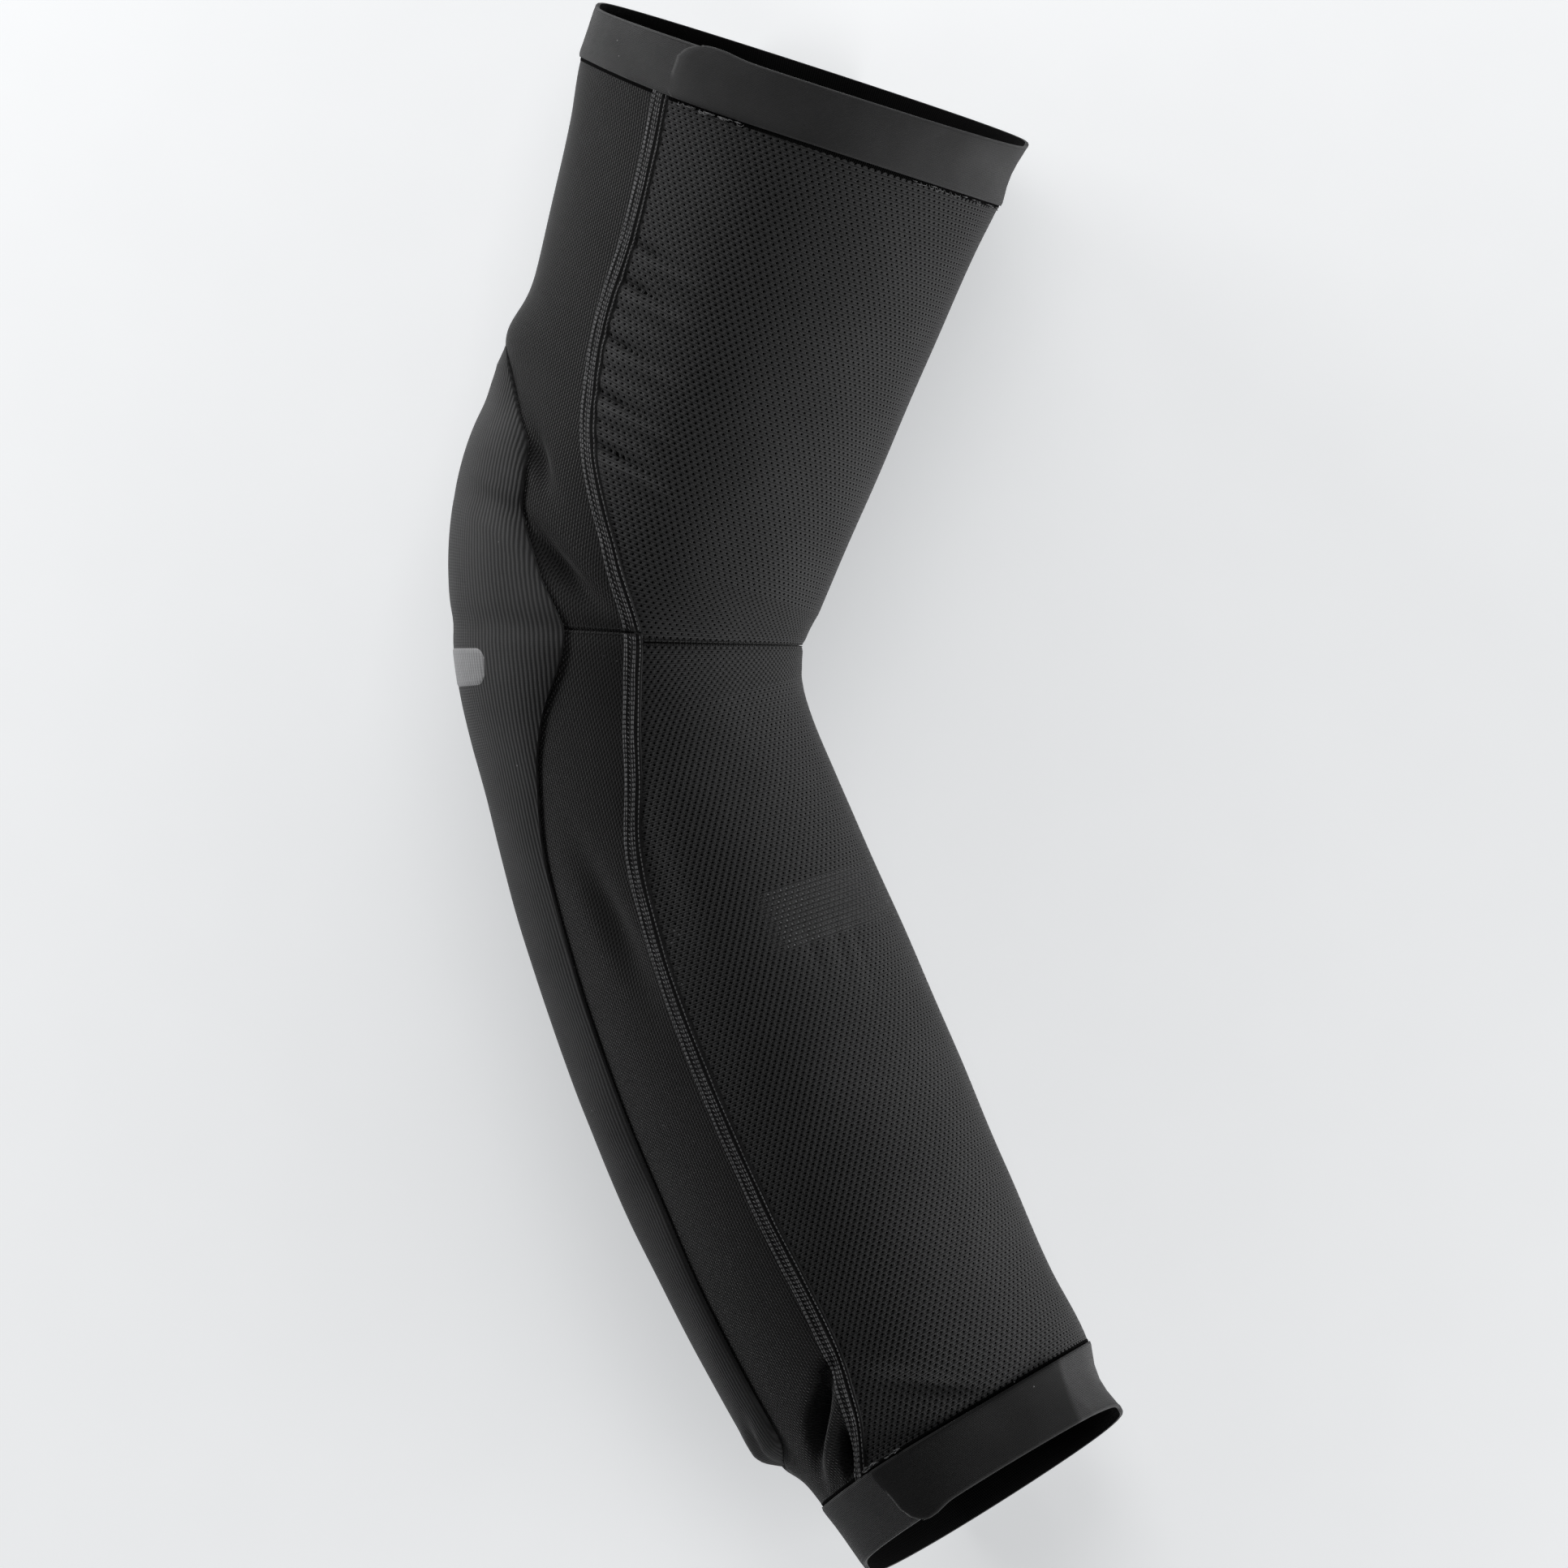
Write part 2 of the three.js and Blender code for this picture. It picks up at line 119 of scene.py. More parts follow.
# %% Lengths of the sleeve
upper_length = 146.0
forearm_length = 232.0
upper_lean = -18.0
elbow_lean = 13.5
wrist_lean = 32.0
bend_reach = 20.0
table_flat = 0.5
upper_outline = [
    (1.0, 52.4, 58.9, 43.8), (0.9, 52.0, 57.2, 43.3), (0.8, 49.9, 55.1, 42.5), (0.63, 47.6, 52.6, 41.5),
    (0.45, 45.4, 50.1, 40.5), (0.34, 44.0, 48.6, 40.0), (0.22, 43.0, 47.0, 39.3), (0.1, 40.2, 45.3, 38.5),
]
forearm_outline = [
    (0.0, 36.5, 43.7, 38.0), (0.06, 34.8, 42.7, 37.6), (0.11, 34.6, 42.0, 37.5), (0.2, 34.8, 44.2, 37.6),
    (0.39, 35.1, 48.7, 38.0), (0.56, 35.0, 49.9, 37.5), (0.69, 35.0, 49.2, 36.5), (0.82, 34.0, 47.5, 34.5),
    (0.89, 31.2, 47.3, 33.0), (0.94, 29.8, 46.0, 32.3), (1.0, 28.7, 44.6, 31.3),
]


def through(points):
    """A smooth curve through given points, with one or more values at each."""
    table = np.array(points, float)
    x, y = table[:, 0], table[:, 1:]
    after = np.minimum(np.arange(len(x)) + 1, len(x) - 1)
    before = np.maximum(np.arange(len(x)) - 1, 0)
    slope = (y[after] - y[before]) / (x[after] - x[before])[:, None]

    def value(at, k=0):
        at = np.asarray(at, float)
        i = np.clip(np.searchsorted(x, at, side="right") - 1, 0, len(x) - 2)
        span = x[i + 1] - x[i]
        t = np.clip((at - x[i]) / span, 0, 1)
        a, b, m, n = y[i, k], y[i + 1, k], slope[i, k], slope[i + 1, k]
        curve = (1 + 2 * t) * (1 - t) ** 2 * a + t * t * (3 - 2 * t) * b
        curve = curve + span * (t * (1 - t) ** 2 * m - t * t * (1 - t) * n)
        return curve + (at - x[i] - t * span) * np.where(t < 0.5, m, n)

    return value


outline = through(
    [(-share * upper_length, *reach) for share, *reach in upper_outline]
    + [(share * forearm_length, *reach) for share, *reach in forearm_outline]
)
print("back, crook and half depth at the elbow:", [float(outline(0, k)) for k in range(3)])

# %% The line of the arm
def lean(along):
    """How far the arm's line leans from straight down the picture, in degrees."""
    along = np.asarray(along, float)
    bend = upper_lean + (elbow_lean - upper_lean) * np.clip((along / bend_reach + 1) / 2, 0, 1)
    share = (along - bend_reach) / (forearm_length - bend_reach)
    return np.where(along < bend_reach, bend, elbow_lean + (wrist_lean - elbow_lean) * share)


def arc(start, stop, length):
    """The chord of a stretch whose lean turns evenly from start to stop."""
    half = np.radians(stop - start) / 2
    chord = length * np.sinc(half / np.pi)
    middle = np.radians(start + stop) / 2
    return np.stack([np.sin(middle) * chord, -np.cos(middle) * chord], -1)


def arm_line(along):
    bend = np.clip(along, -bend_reach, bend_reach)
    return arc(lean(0), lean(bend), bend) + arc(lean(bend), lean(along), along - bend)


hinge = 1000 * np.array(frame["joints"][0]["pos_m"], float)
crease_middle = (outline(0, 1) - outline(0, 0)) / 2
crease_way = np.radians(lean(0))
origin = hinge[:2] - crease_middle * np.array([np.cos(crease_way), np.sin(crease_way)])
print("elbow crease of the arm's line, in millimetres:", origin.round(2))

# %% [markdown]
# ## Folds in the cloth
# Stretched cloth still folds where it is gathered. There are a few soft valleys behind the elbow and deep
# folds above the wrist, short puckers that run slantwise from the long seam on the upper arm, where one
# panel was eased into the other, and a valley at the elbow seam. Over the two ends of the foam the cloth
# swells instead. Sculpting could do this, but hollows with a place, a direction, a length, a width and a
# depth stay easy to move.

# %% The long seam and the elbow seams
flatlock_outline = [
    (-128, 127.5), (-95, 126.2), (-71, 127.4), (-51, 123.9), (-40, 118.9), (-29, 111.2), (-19, 103.5),
    (-8, 96.1), (0, 93.2), (11, 94.5), (23, 98.0), (35, 102.5), (50, 109.8), (64, 112.7),
    (90, 114.8), (140, 114.2), (180, 113.4), (198, 119.7), (212, 133.0),
]
flatlock_angle = through(flatlock_outline)
back_crease = -1.0
front_crease = 1.4


def degrees_for(length, along):
    """The angle that a length round the arm takes there."""
    half = (outline(along, 0) + outline(along, 1)) / 2
    return np.degrees(2 * length / (half + outline(along, 2)))


print("long seam crosses the elbow at", float(flatlock_angle(0)), "degrees from the crook")

# %% Hollows and swells
folds = [  # along, angle, turn, length, width, depth
    (-13, 120.6, -62, 12, 2.5, 5.6),
    (-35, 138, -40, 8, 2.6, 3.0),
    (58, 104, -4, 15, 3.4, 1.0),
    (68, 127.5, -10, 17, 4.2, 3.2),
    (195, 133, 48, 10.5, 2.1, 6.5),
    (195, 171, 28, 7, 1.8, 1.7),
    (198, 96, -46, 11, 3.0, 1.5),
    (224, 76, 0, 14, 13, 1.5),
    (-62, 180, 0, 8.5, 17, -3.4),
    (201.5, 180, 0, 4, 12, -2.0),
    (206, 133, 34, 5.5, 1.5, 5.0),
    (202, 138, 47, 9, 1.8, -1.5),
    (204, 84, -52, 8, 1.8, 0.8),
    (90, 52, 6, 7, 1.8, 0.35),
    (92, 44, 3, 8, 1.6, 0.3),
    (89, 63, -4, 6, 1.6, 0.3),
]


def hollow(fold, along, side):
    """Height of one fold. A fold with a negative depth stands up."""
    at, angle, turn, length, width, depth = fold
    down = along - at
    across = (side - angle) / degrees_for(1, at)
    turn = math.radians(turn)
    lengthwise = down * math.cos(turn) + across * math.sin(turn)
    crosswise = across * math.cos(turn) - down * math.sin(turn)
    return -depth * np.exp(-((lengthwise / length) ** 2) - (crosswise / width) ** 2)


print("hollows and swells:", len(folds))

# %% Puckers
pucker_places = [
    (-93.5, 0.8), (-84, 1), (-77, 0.35), (-69.5, 1), (-62.5, 0.4), (-56, 1.1), (-49.5, 0.4), (-43.5, 1),
]
pucker_length = 16.0
pucker_width = 1.5
pucker_depth = 2.3
pucker_slant = 13.0
pucker_start = 0.8
pucker_deepens = 6.5
lip_share = 0.4
lip_off = 3.0
lip_width = 1.8


def puckers(along, side):
    """Short folds that start at the long seam of the upper arm and die out on the front panel."""
    away = (flatlock_angle(along) - side) / degrees_for(1, along)
    slant = math.tan(math.radians(pucker_slant))
    total = np.zeros_like(away)
    for start, share in pucker_places:
        off = along - start - slant * away
        reach = pucker_length * (0.6 + 0.4 * share)
        fade = np.clip((away - pucker_start) / pucker_deepens, 0, 1) * np.exp(-((away / reach) ** 4))
        lip = np.exp(-(((off - lip_off) / lip_width) ** 2))
        dip = np.exp(-((off / pucker_width) ** 2)) - lip_share * lip
        total -= pucker_depth * share * fade * dip
    return total


print("puckers:", len(pucker_places))

# %% All the relief together
crease_dip = 0.5
crease_width = 2.4
unevenness = 0.12


def relief(along, angle):
    """Height of all folds at a place. The far side mirrors the near side."""
    side = np.abs((angle + 180) % 360 - 180)
    total = sum(hollow(fold, along, side) for fold in folds)
    crease = np.where(side > flatlock_angle(0), back_crease, front_crease)
    total = total - crease_dip * np.exp(-(((along - crease) / crease_width) ** 2))
    uneven = unevenness * np.sin(along / 7.3 + side / 19) * np.sin(side / 8.1 + along / 31)
    return total + puckers(along, side) + uneven


print("deepest point of the elbow valley:", round(float(relief(-13.0, 120.6)), 1), "mm")

# %% Placing a point on the sleeve
def place(along, angle, height=0.0, top=0.0):
    """Points of the sleeve in millimetres. top is the height of the outermost face there, on the table."""
    along, angle, height, top = np.broadcast_arrays(along, angle, height, top)
    back, crook, depth = (outline(along, k) for k in range(3))
    rise = height + relief(along, angle)
    turn = np.radians(angle)
    across = (crook - back) / 2 + ((crook + back) / 2 + rise) * np.cos(turn)
    z = depth - table_flat + (depth + rise) * np.sin(turn)
    way = np.radians(lean(along))
    centre = arm_line(along)
    x = origin[0] + centre[..., 0] + across * np.cos(way)
    y = origin[1] + centre[..., 1] + across * np.sin(way)
    return np.stack([x, y, np.maximum(z, top - height)], -1)


shoulder_width = np.ptp(place(-upper_length, np.arange(0, 360, 5))[:, 0])
print("shoulder opening is", round(float(shoulder_width), 1), "mm wide in the picture")

# %% [markdown]
# ## Making cloth from a grid
# Each piece of cloth is a grid of small squares, laid over the arm. Its flat coordinates, in millimetres
# round and along the arm, are kept as a UV map, and every knit pattern is drawn on those, so that ribs and
# meshes have their real size and run as the cloth was cut.

# %% Grids and pieces
pieces = {}
areas = {}
ends = (("upper", -1), ("lower", 1))


def grid_faces(rows, columns, ring=False):
    """Squares between neighbouring rows and columns. A ring joins the last column to the first."""
    j, i = np.meshgrid(np.arange(rows - 1), np.arange(columns if ring else columns - 1), indexing="ij")
    a = j * columns + i
    b = j * columns + (i + 1) % columns
    return np.stack([a, b, b + columns, a + columns], -1).reshape(-1, 4)


def flat_map(across, along):
    """Flat coordinates of a grid, from its millimetres round and along the arm."""
    return np.stack(np.broadcast_arrays(across, along), -1)


def new_piece(name, points, faces, materials, uv=None, face_material=None):
    """A smooth mesh object from points in millimetres."""
    points = points.reshape(-1, 3)
    mesh = bpy.data.meshes.new(name)
    mesh.from_pydata((0.001 * points).tolist(), [], [list(map(int, face)) for face in faces])
    mesh.polygons.foreach_set("use_smooth", np.ones(len(mesh.polygons), bool))
    corner = np.zeros(len(mesh.loops), np.int32)
    mesh.loops.foreach_get("vertex_index", corner)
    flat = np.zeros((len(points), 2)) if uv is None else uv.reshape(-1, 2)
    layer = mesh.uv_layers.new(name="Cloth")
    layer.data.foreach_set("uv", flat[corner].astype(np.float32).ravel())
    for material in materials:
        mesh.materials.append(material)
    if face_material is not None:
        mesh.polygons.foreach_set("material_index", np.asarray(face_material, np.int32))
    piece = bpy.data.objects.new(name, mesh)
    bpy.context.scene.collection.objects.link(piece)
    pieces[name] = piece
    return piece


def joined(*parts):
    """Several (points, faces, uv) as one, and the number of the part that each face came from."""
    points, faces, uvs, part = [], [], [], []
    count = 0
    for n, (p, f, t) in enumerate(parts):
        points.append(p.reshape(-1, 3))
        uvs.append(t.reshape(-1, 2))
        faces.extend((np.asarray(f) + count).tolist())
        part.extend([n] * len(f))
        count += len(points[-1])
    return np.concatenate(points), faces, np.concatenate(uvs), np.array(part)


def band_area(along, width):
    """Flat area of a cut, in square metres, from its width at each distance along, in millimetres."""
    return float(np.sum((width[1:] + width[:-1]) / 2 * np.abs(np.diff(along)))) * 1e-6


print("a grid of 3 by 4 points has", len(grid_faces(3, 4)), "squares")

# %% [markdown]
# ## Materials: shared effects
# All the cloth here is charcoal yarn. What tells one knit from another is its relief: ribs, a fine pique,
# rows of threads between holes. Three effects come back in every finish, so each is a node group: fuzz,
# the uneven tone of brushed yarn with a few pale fibres caught on it, ribs with their courses, and the
# staggered cells of a mesh. An image could show the same, but nodes stay sharp at any size.

# %% Fields: values that change over the cloth
def put(value, socket):
    """Feeds a socket with a field or a plain value."""
    if isinstance(value, Field):
        value.tree.links.new(value.socket, socket)
    else:
        socket.default_value = value


class Field:
    """A value that changes from place to place. Arithmetic with fields makes math nodes."""

    def __init__(self, tree, socket):
        self.tree, self.socket = tree, socket

    def math(self, operation, *others):
        node = self.tree.nodes.new("ShaderNodeMath")
        node.operation = operation
        for value, socket in zip((self, *others), node.inputs):
            put(value, socket)
        return Field(self.tree, node.outputs[0])

    def __add__(self, other):
        return self.math("ADD", other)

    def __sub__(self, other):
        return self.math("SUBTRACT", other)

    def __rsub__(self, other):
        return self.math("MULTIPLY_ADD", -1.0, other)

    def __mul__(self, other):
        return self.math("MULTIPLY", other)

    def __truediv__(self, other):
        return self.math("DIVIDE", other)

    def __abs__(self):
        return self.math("ABSOLUTE")


print("fields ready")

# %% Patterns and mixes
def blend_colours(share, first, second):
    node = share.tree.nodes.new("ShaderNodeMix")
    node.data_type = "RGBA"
    for value, socket in zip((share, first, second), (node.inputs[0], node.inputs[6], node.inputs[7])):
        put(value, socket)
    return Field(share.tree, node.outputs[2])


def pattern(kind, output, where, scale):
    """A texture node and its pattern in space."""
    node = where.tree.nodes.new(kind)
    put(where, node.inputs["Vector"])
    put(scale, node.inputs["Scale"])
    return node, Field(where.tree, node.outputs[output])


def noise(where, scale, detail=2.0):
    node, field = pattern("ShaderNodeTexNoise", "Fac", where, scale)
    node.inputs["Detail"].default_value = detail
    return field


def scattered(where, scale):
    """Distance to the nearest of many scattered points."""
    return pattern("ShaderNodeTexVoronoi", "Distance", where, scale)[1]


def stretched(share, low, high):
    """A share between low and high, spread over 0 to 1."""
    node = share.tree.nodes.new("ShaderNodeMapRange")
    for value, label in ((share, "Value"), (low, "From Min"), (high, "From Max")):
        put(value, node.inputs[label])
    return Field(share.tree, node.outputs["Result"])


def wave(distance, pitch):
    """0 to 1 and back over each pitch, highest at the whole pitches."""
    return (distance / pitch * (2 * math.pi)).math("COSINE") * 0.5 + 0.5


def new_group(name, inputs, outputs):
    """A node group with named sockets: the group, its inputs as fields, and its output sockets."""
    group = bpy.data.node_groups.new(name, "ShaderNodeTree")
    for label, value in inputs.items():
        kind = "NodeSocketVector" if value is None else "NodeSocketFloat"
        socket = group.interface.new_socket(label, in_out="INPUT", socket_type=kind)
        if value is not None:
            socket.default_value = value
    for label in outputs:
        group.interface.new_socket(label, in_out="OUTPUT", socket_type="NodeSocketFloat")
    given = group.nodes.new("NodeGroupInput").outputs
    result = group.nodes.new("NodeGroupOutput").inputs
    return group, {label: Field(group, given[label]) for label in inputs}, result


print("patterns and mixes ready")

# %% Group: fuzz
fuzz_inputs = {"Place": None, "Patches": 90.0, "Fibres": 4200.0, "Lint": 0.5}
fuzz, given, result = new_group("Yarn fuzz", fuzz_inputs, ("Tone", "Fibre", "Lint"))
fibres = noise(given["Place"], given["Fibres"])
tone = noise(given["Place"], given["Patches"], 3) * 0.6 + fibres * 0.4
specks = scattered(given["Place"], 260.0).math("LESS_THAN", 0.055)
rare = noise(given["Place"], 55.0, 1).math("GREATER_THAN", 0.6)
put(stretched(tone, 0.3, 0.7), result["Tone"])
put(fibres, result["Fibre"])
put(specks * rare * given["Lint"], result["Lint"])
print("group", fuzz.name)

# %% Group: ribs
ribs_inputs = {
    "Round": 0.0, "Along": 0.0, "Rib pitch": 1.0, "Course pitch": 0.5, "Course depth": 0.3, "Wander": 0.1,
}
ribs, given, result = new_group("Ribs and courses", ribs_inputs, ("Rib", "Course", "Height"))
spot = ribs.nodes.new("ShaderNodeCombineXYZ")
put(given["Round"], spot.inputs["X"])
put(given["Along"], spot.inputs["Y"])
drift = (noise(Field(ribs, spot.outputs[0]), 0.35) - 0.5) * given["Wander"]
rib = wave(given["Round"] + drift, given["Rib pitch"])
course = wave(given["Along"] + drift, given["Course pitch"])
put(rib, result["Rib"])
put(course, result["Course"])
put(rib * (1.0 - (1.0 - course) * given["Course depth"]), result["Height"])
print("group", ribs.name)

# %% Group: staggered cells
cells_inputs = {"Over": 0.0, "Down": 0.0, "Column pitch": 0.73, "Cell pitch": 1.07}
cells, given, result = new_group("Staggered cells", cells_inputs, ("Aside", "Ahead"))
over = given["Over"] / given["Column pitch"]
down = given["Down"] / given["Cell pitch"] + (over.math("FLOOR") * 0.5 + 0.5)
for label, position, pitch in (("Aside", over, "Column pitch"), ("Ahead", down, "Cell pitch")):
    put((position.math("FRACT") - 0.5) * given[pitch], result[label])
print("group", cells.name)

# %% [markdown]
# ## Materials: one for each cloth
# A dark yarn reflects a few parts in a hundred at most, and at a low angle its fibres catch the light,
# which is the sheen. Each finish starts from the same plain yarn and adds its own relief and tones. Where a
# finish has ribs, dents or grooves, their low parts are painted darker as shade. The fuzz varies the tone
# at random.

# %% Every finish
fibre_sheen = 0.3


def grey(value):
    """A grey that is a little blue, as charcoal dye is."""
    return (value, value, value * 1.02, 1)


class Finish:
    """A cloth material with its flat coordinates, its place in space and its fuzz, ready to be dressed."""

    def __init__(self, name, sheen, specular=0.3, **fluff):
        self.material = bpy.data.materials.new(name)
        self.material.use_nodes = True
        self.tree = self.material.node_tree
        self.inputs = self.tree.nodes["Principled BSDF"].inputs
        self.inputs["Sheen Weight"].default_value = sheen
        self.inputs["Sheen Roughness"].default_value = fibre_sheen
        self.inputs["Specular IOR Level"].default_value = specular
        flat = self.tree.nodes.new("ShaderNodeUVMap")
        flat.uv_map = "Cloth"
        parts = self.tree.nodes.new("ShaderNodeSeparateXYZ")
        self.tree.links.new(flat.outputs["UV"], parts.inputs[0])
        self.across, self.along = (Field(self.tree, parts.outputs[axis]) for axis in "XY")
        self.body = Field(self.tree, self.tree.nodes.new("ShaderNodeTexCoord").outputs["Object"])
        self.fluff = self.group(fuzz, Place=self.body, **fluff)
        self.tone = self.fluff["Tone"]

    def group(self, group, **values):
        """Adds a node group and gives its outputs as fields."""
        node = self.tree.nodes.new("ShaderNodeGroup")
        node.node_tree = group
        for label, value in values.items():
            put(value, node.inputs[label.replace("_", " ")])
        return {socket.name: Field(self.tree, socket) for socket in node.outputs}

    def colour(self, cloth, lint=0.25):
        """Base colour, with pale fibres on it."""
        put(blend_colours(self.fluff["Lint"], cloth, grey(lint)), self.inputs["Base Color"])

    def dress(self, dark, light, share):
        """Base colour between two tones of yarn."""
        self.colour(blend_colours(share, grey(dark), grey(light)))

    def surface(self, rough, height, depth):
        """Roughness and relief of the yarn, whose real height is depth in metres."""
        put(rough, self.inputs["Roughness"])
        bump = self.tree.nodes.new("ShaderNodeBump")
        bump.inputs["Strength"].default_value = 1.0
        bump.inputs["Distance"].default_value = depth
        put(height, bump.inputs["Height"])
        self.tree.links.new(bump.outputs["Normal"], self.inputs["Normal"])
        return self.material


cloths = {}
print("the plain yarn's fuzz has inputs", list(fuzz_inputs))

# %% Cuff knit
strip_start = 125


def cuff_knit(name, first, last, slant, dark_stretch_tone):
    """Fine ribs along the strip. From first to last, in millimetres along it, it turns smooth and dark."""
    knit = Finish(name, sheen=0.1, Patches=70.0, Lint=0.7)
    rows = knit.group(
        ribs, Round=knit.along, Along=knit.across, Rib_pitch=0.42, Course_pitch=0.5, Wander=0.25
    )
    smooth = stretched(knit.along * slant + knit.across, first, last)
    ribbing = rows["Height"] * (smooth * -0.6 + 1.0)
    # The valleys between the ribs are painted darker: painted shade.
    share = ribbing * 0.45 + knit.tone * 0.45
    yarn = blend_colours(share, grey(0.02), grey(0.055))
    # From first on, the yarn turns darker. On the lower cuff that is painted shade.
    dark_stretch = blend_colours(share, grey(0.4 * dark_stretch_tone), grey(dark_stretch_tone))
    knit.colour(blend_colours(smooth, yarn, dark_stretch), lint=0.2)
    return knit.surface(knit.tone * -0.12 + 0.9, ribbing + knit.fluff["Fibre"] * 0.5, 0.00012)


def strip_place(angle, along):
    """Length of a cuff's strip from its end at the lap to an angle, in millimetres."""
    return float((angle - strip_start) / degrees_for(1, along))


# On the lower cuff, the dark smooth stretch is painted shade over the face that looks up, from the ridge to
# the lap, so that the crook-side facet below the ridge looks lit. On the upper cuff, the yarn turns darker
# and smoother from 10 to 90 degrees.
for name, first, last, at, slant, dark_stretch_tone in (
    ("upper_cuff", 370, 450, -137, 0.0, 0.042),
    ("lower_cuff", 402, 405, 216, 0.25, 0.009),
):
    label = name.replace("_", " ").capitalize() + " knit"
    cloths[name] = cuff_knit(label, strip_place(first, at), strip_place(last, at), slant, dark_stretch_tone)
print("cloths:", sorted(cloths))

# %% Fine mesh and open mesh
hole_pitch = 1.7
row_pitch = 1.3


def oval(aside, ahead, half_width, half_height):
    """1 in the middle of an oval dent, 0 outside it."""
    over, down = aside / half_width, ahead / half_height
    return stretched(over * over + down * down, 1.6, 0.3)


def fine_mesh():
    knit = Finish("Fine mesh", sheen=0.2, Patches=60.0, Lint=0.2)
    cell = knit.group(cells, Over=knit.across, Down=knit.along, Column_pitch=0.73, Cell_pitch=1.07)
    dent = oval(cell["Aside"], cell["Ahead"], 0.2, 0.4)
    cloth = 1.0 - dent
    # The dents are painted almost black: painted shade in each dent.
    knit.dress(0.0012, 0.0105, cloth * 0.7 + knit.tone * 0.3)
    return knit.surface(dent * 0.08 + 0.86, cloth, 0.0003)


def open_mesh():
    """Beside each cut hole lie three narrow slits, and between the rows of holes a thin groove."""
    knit = Finish("Open mesh", sheen=0.09, Patches=60.0, Lint=0.2)
    cell = knit.group(
        cells, Over=knit.along, Down=knit.across, Column_pitch=row_pitch, Cell_pitch=hole_pitch
    )
    slit, *others = (
        oval(cell["Ahead"] - middle, cell["Aside"], half_width, half_height)
        for middle, half_width, half_height in ((0.42, 0.1, 0.3), (0.72, 0.08, 0.26), (-0.36, 0.08, 0.26))
    )
    for other in others:
        slit = slit.math("MAXIMUM", other)
    groove = stretched(row_pitch / 2 - abs(cell["Aside"]), 0.2, 0.04)
    cloth = 1.0 - (slit * 0.85).math("MAXIMUM", groove * 0.72)
    # The slits and the groove are painted near black: painted shade in these openings and recesses.
    knit.dress(0.002, 0.047, cloth * 0.75 + knit.tone * 0.25)
    return knit.surface(cloth * -0.08 + 0.92, cloth, 0.00025)


cloths["fine_mesh"] = fine_mesh()
cloths["open_mesh"] = open_mesh()
print("holes are", hole_pitch, "mm apart in rows", row_pitch, "mm apart")

# %% Ribbed knits: the pad's stretch cloth, webbing, lining and seams
stitch_pitch = 1.15


def ribbed_stretch():
    """Down the middle of the pad the ribs are pulled flat and only the courses are left."""
    knit = Finish("Ribbed stretch", sheen=0.04, Patches=80.0, Lint=0.6)
    rows = knit.group(
        ribs, Round=knit.across, Along=knit.along,
        Rib_pitch=0.95, Course_pitch=0.45, Course_depth=0.15, Wander=0.2,
    )
    side = stretched(abs(knit.across), 5.0, 16.0)
    height = rows["Height"] * side + (1.0 - side) * (rows["Course"] * 0.5 + 0.35)
    # The low parts of the ribs and courses are painted darker: painted shade.
    knit.dress(0.012, 0.046, height * 0.6 + knit.tone * 0.35)
    return knit.surface(rows["Rib"] * -0.12 + 0.86, height, 0.00018)


def plain_knit(name, dark, light, rib_pitch, course_pitch, specular):
    knit = Finish(name, sheen=0.0, specular=specular)
    rows = knit.group(
        ribs, Round=knit.across, Along=knit.along, Rib_pitch=rib_pitch, Course_pitch=course_pitch
    )
    # The low parts of the ribs are painted darker: painted shade.
    knit.dress(dark, light, rows["Height"] * 0.6 + knit.tone * 0.3)
    return knit.surface(knit.tone * 0.08 + 0.88, rows["Height"], 0.0002)


cloths["ribbed"] = ribbed_stretch()
cloths["elastic"] = plain_knit("Elastic webbing", 0.015, 0.035, 1.2, 0.6, 0.15)
# Near-black lining: real on the hidden pad liner, painted shade on the front panels' sheets, the cuffs'
# insides and the hem rolls.
cloths["lining"] = plain_knit("Lining and painted shade", 0.002, 0.005, 0.5, 0.5, 0.02)
cloths["seam_knit"] = plain_knit("Seam knit", 0.01, 0.035, 0.6, stitch_pitch, 0.3)
print("stitches are", stitch_pitch, "mm apart")

# %% Thread, foam, silicone and reflective print
def thread():
    yarn = Finish("Thread", sheen=0.15, Patches=300.0, Fibres=9000.0, Lint=0.0)
    yarn.dress(0.07, 0.2, yarn.tone)
    return yarn.surface(yarn.fluff["Fibre"] * 0.2 + 0.6, yarn.fluff["Fibre"], 0.00008)


def cut_foam():
    foam = Finish("Cut foam", sheen=0.0, Patches=500.0, Lint=0.0)
    foam.dress(0.05, 0.09, foam.tone)
    return foam.surface(foam.tone * 0.08 + 0.88, scattered(foam.body, 1500.0), 0.0002)


def silicone_print():
    rubber = Finish("Silicone print", sheen=0.0, specular=0.5, Patches=200.0, Lint=0.2)
    rubber.dress(0.62, 0.82, rubber.tone)
    return rubber.surface(rubber.tone * 0.2 + 0.3, rubber.tone, 0.0001)


def reflective_print():
    """The print follows the ribs of the cloth under it."""
    film = Finish("Reflective print", sheen=0.0, specular=0.5, Patches=400.0, Fibres=6000.0, Lint=0.0)
    rows = film.group(ribs, Round=film.across, Along=film.along, Rib_pitch=0.85, Course_pitch=0.45)
    # The print is painted darker in the valleys of the ribs under it: painted shade.
    film.dress(0.13, 0.24, rows["Height"] * 0.5 + film.tone * 0.4)
    return film.surface(film.fluff["Fibre"] * 0.3 + 0.35, rows["Height"], 0.00012)


cloths["thread"] = thread()
cloths["foam"] = cut_foam()
cloths["silicone"] = silicone_print()
cloths["reflective"] = reflective_print()
print("all finishes:", sorted(cloths))

# %% Floor
floor_size = 6.0

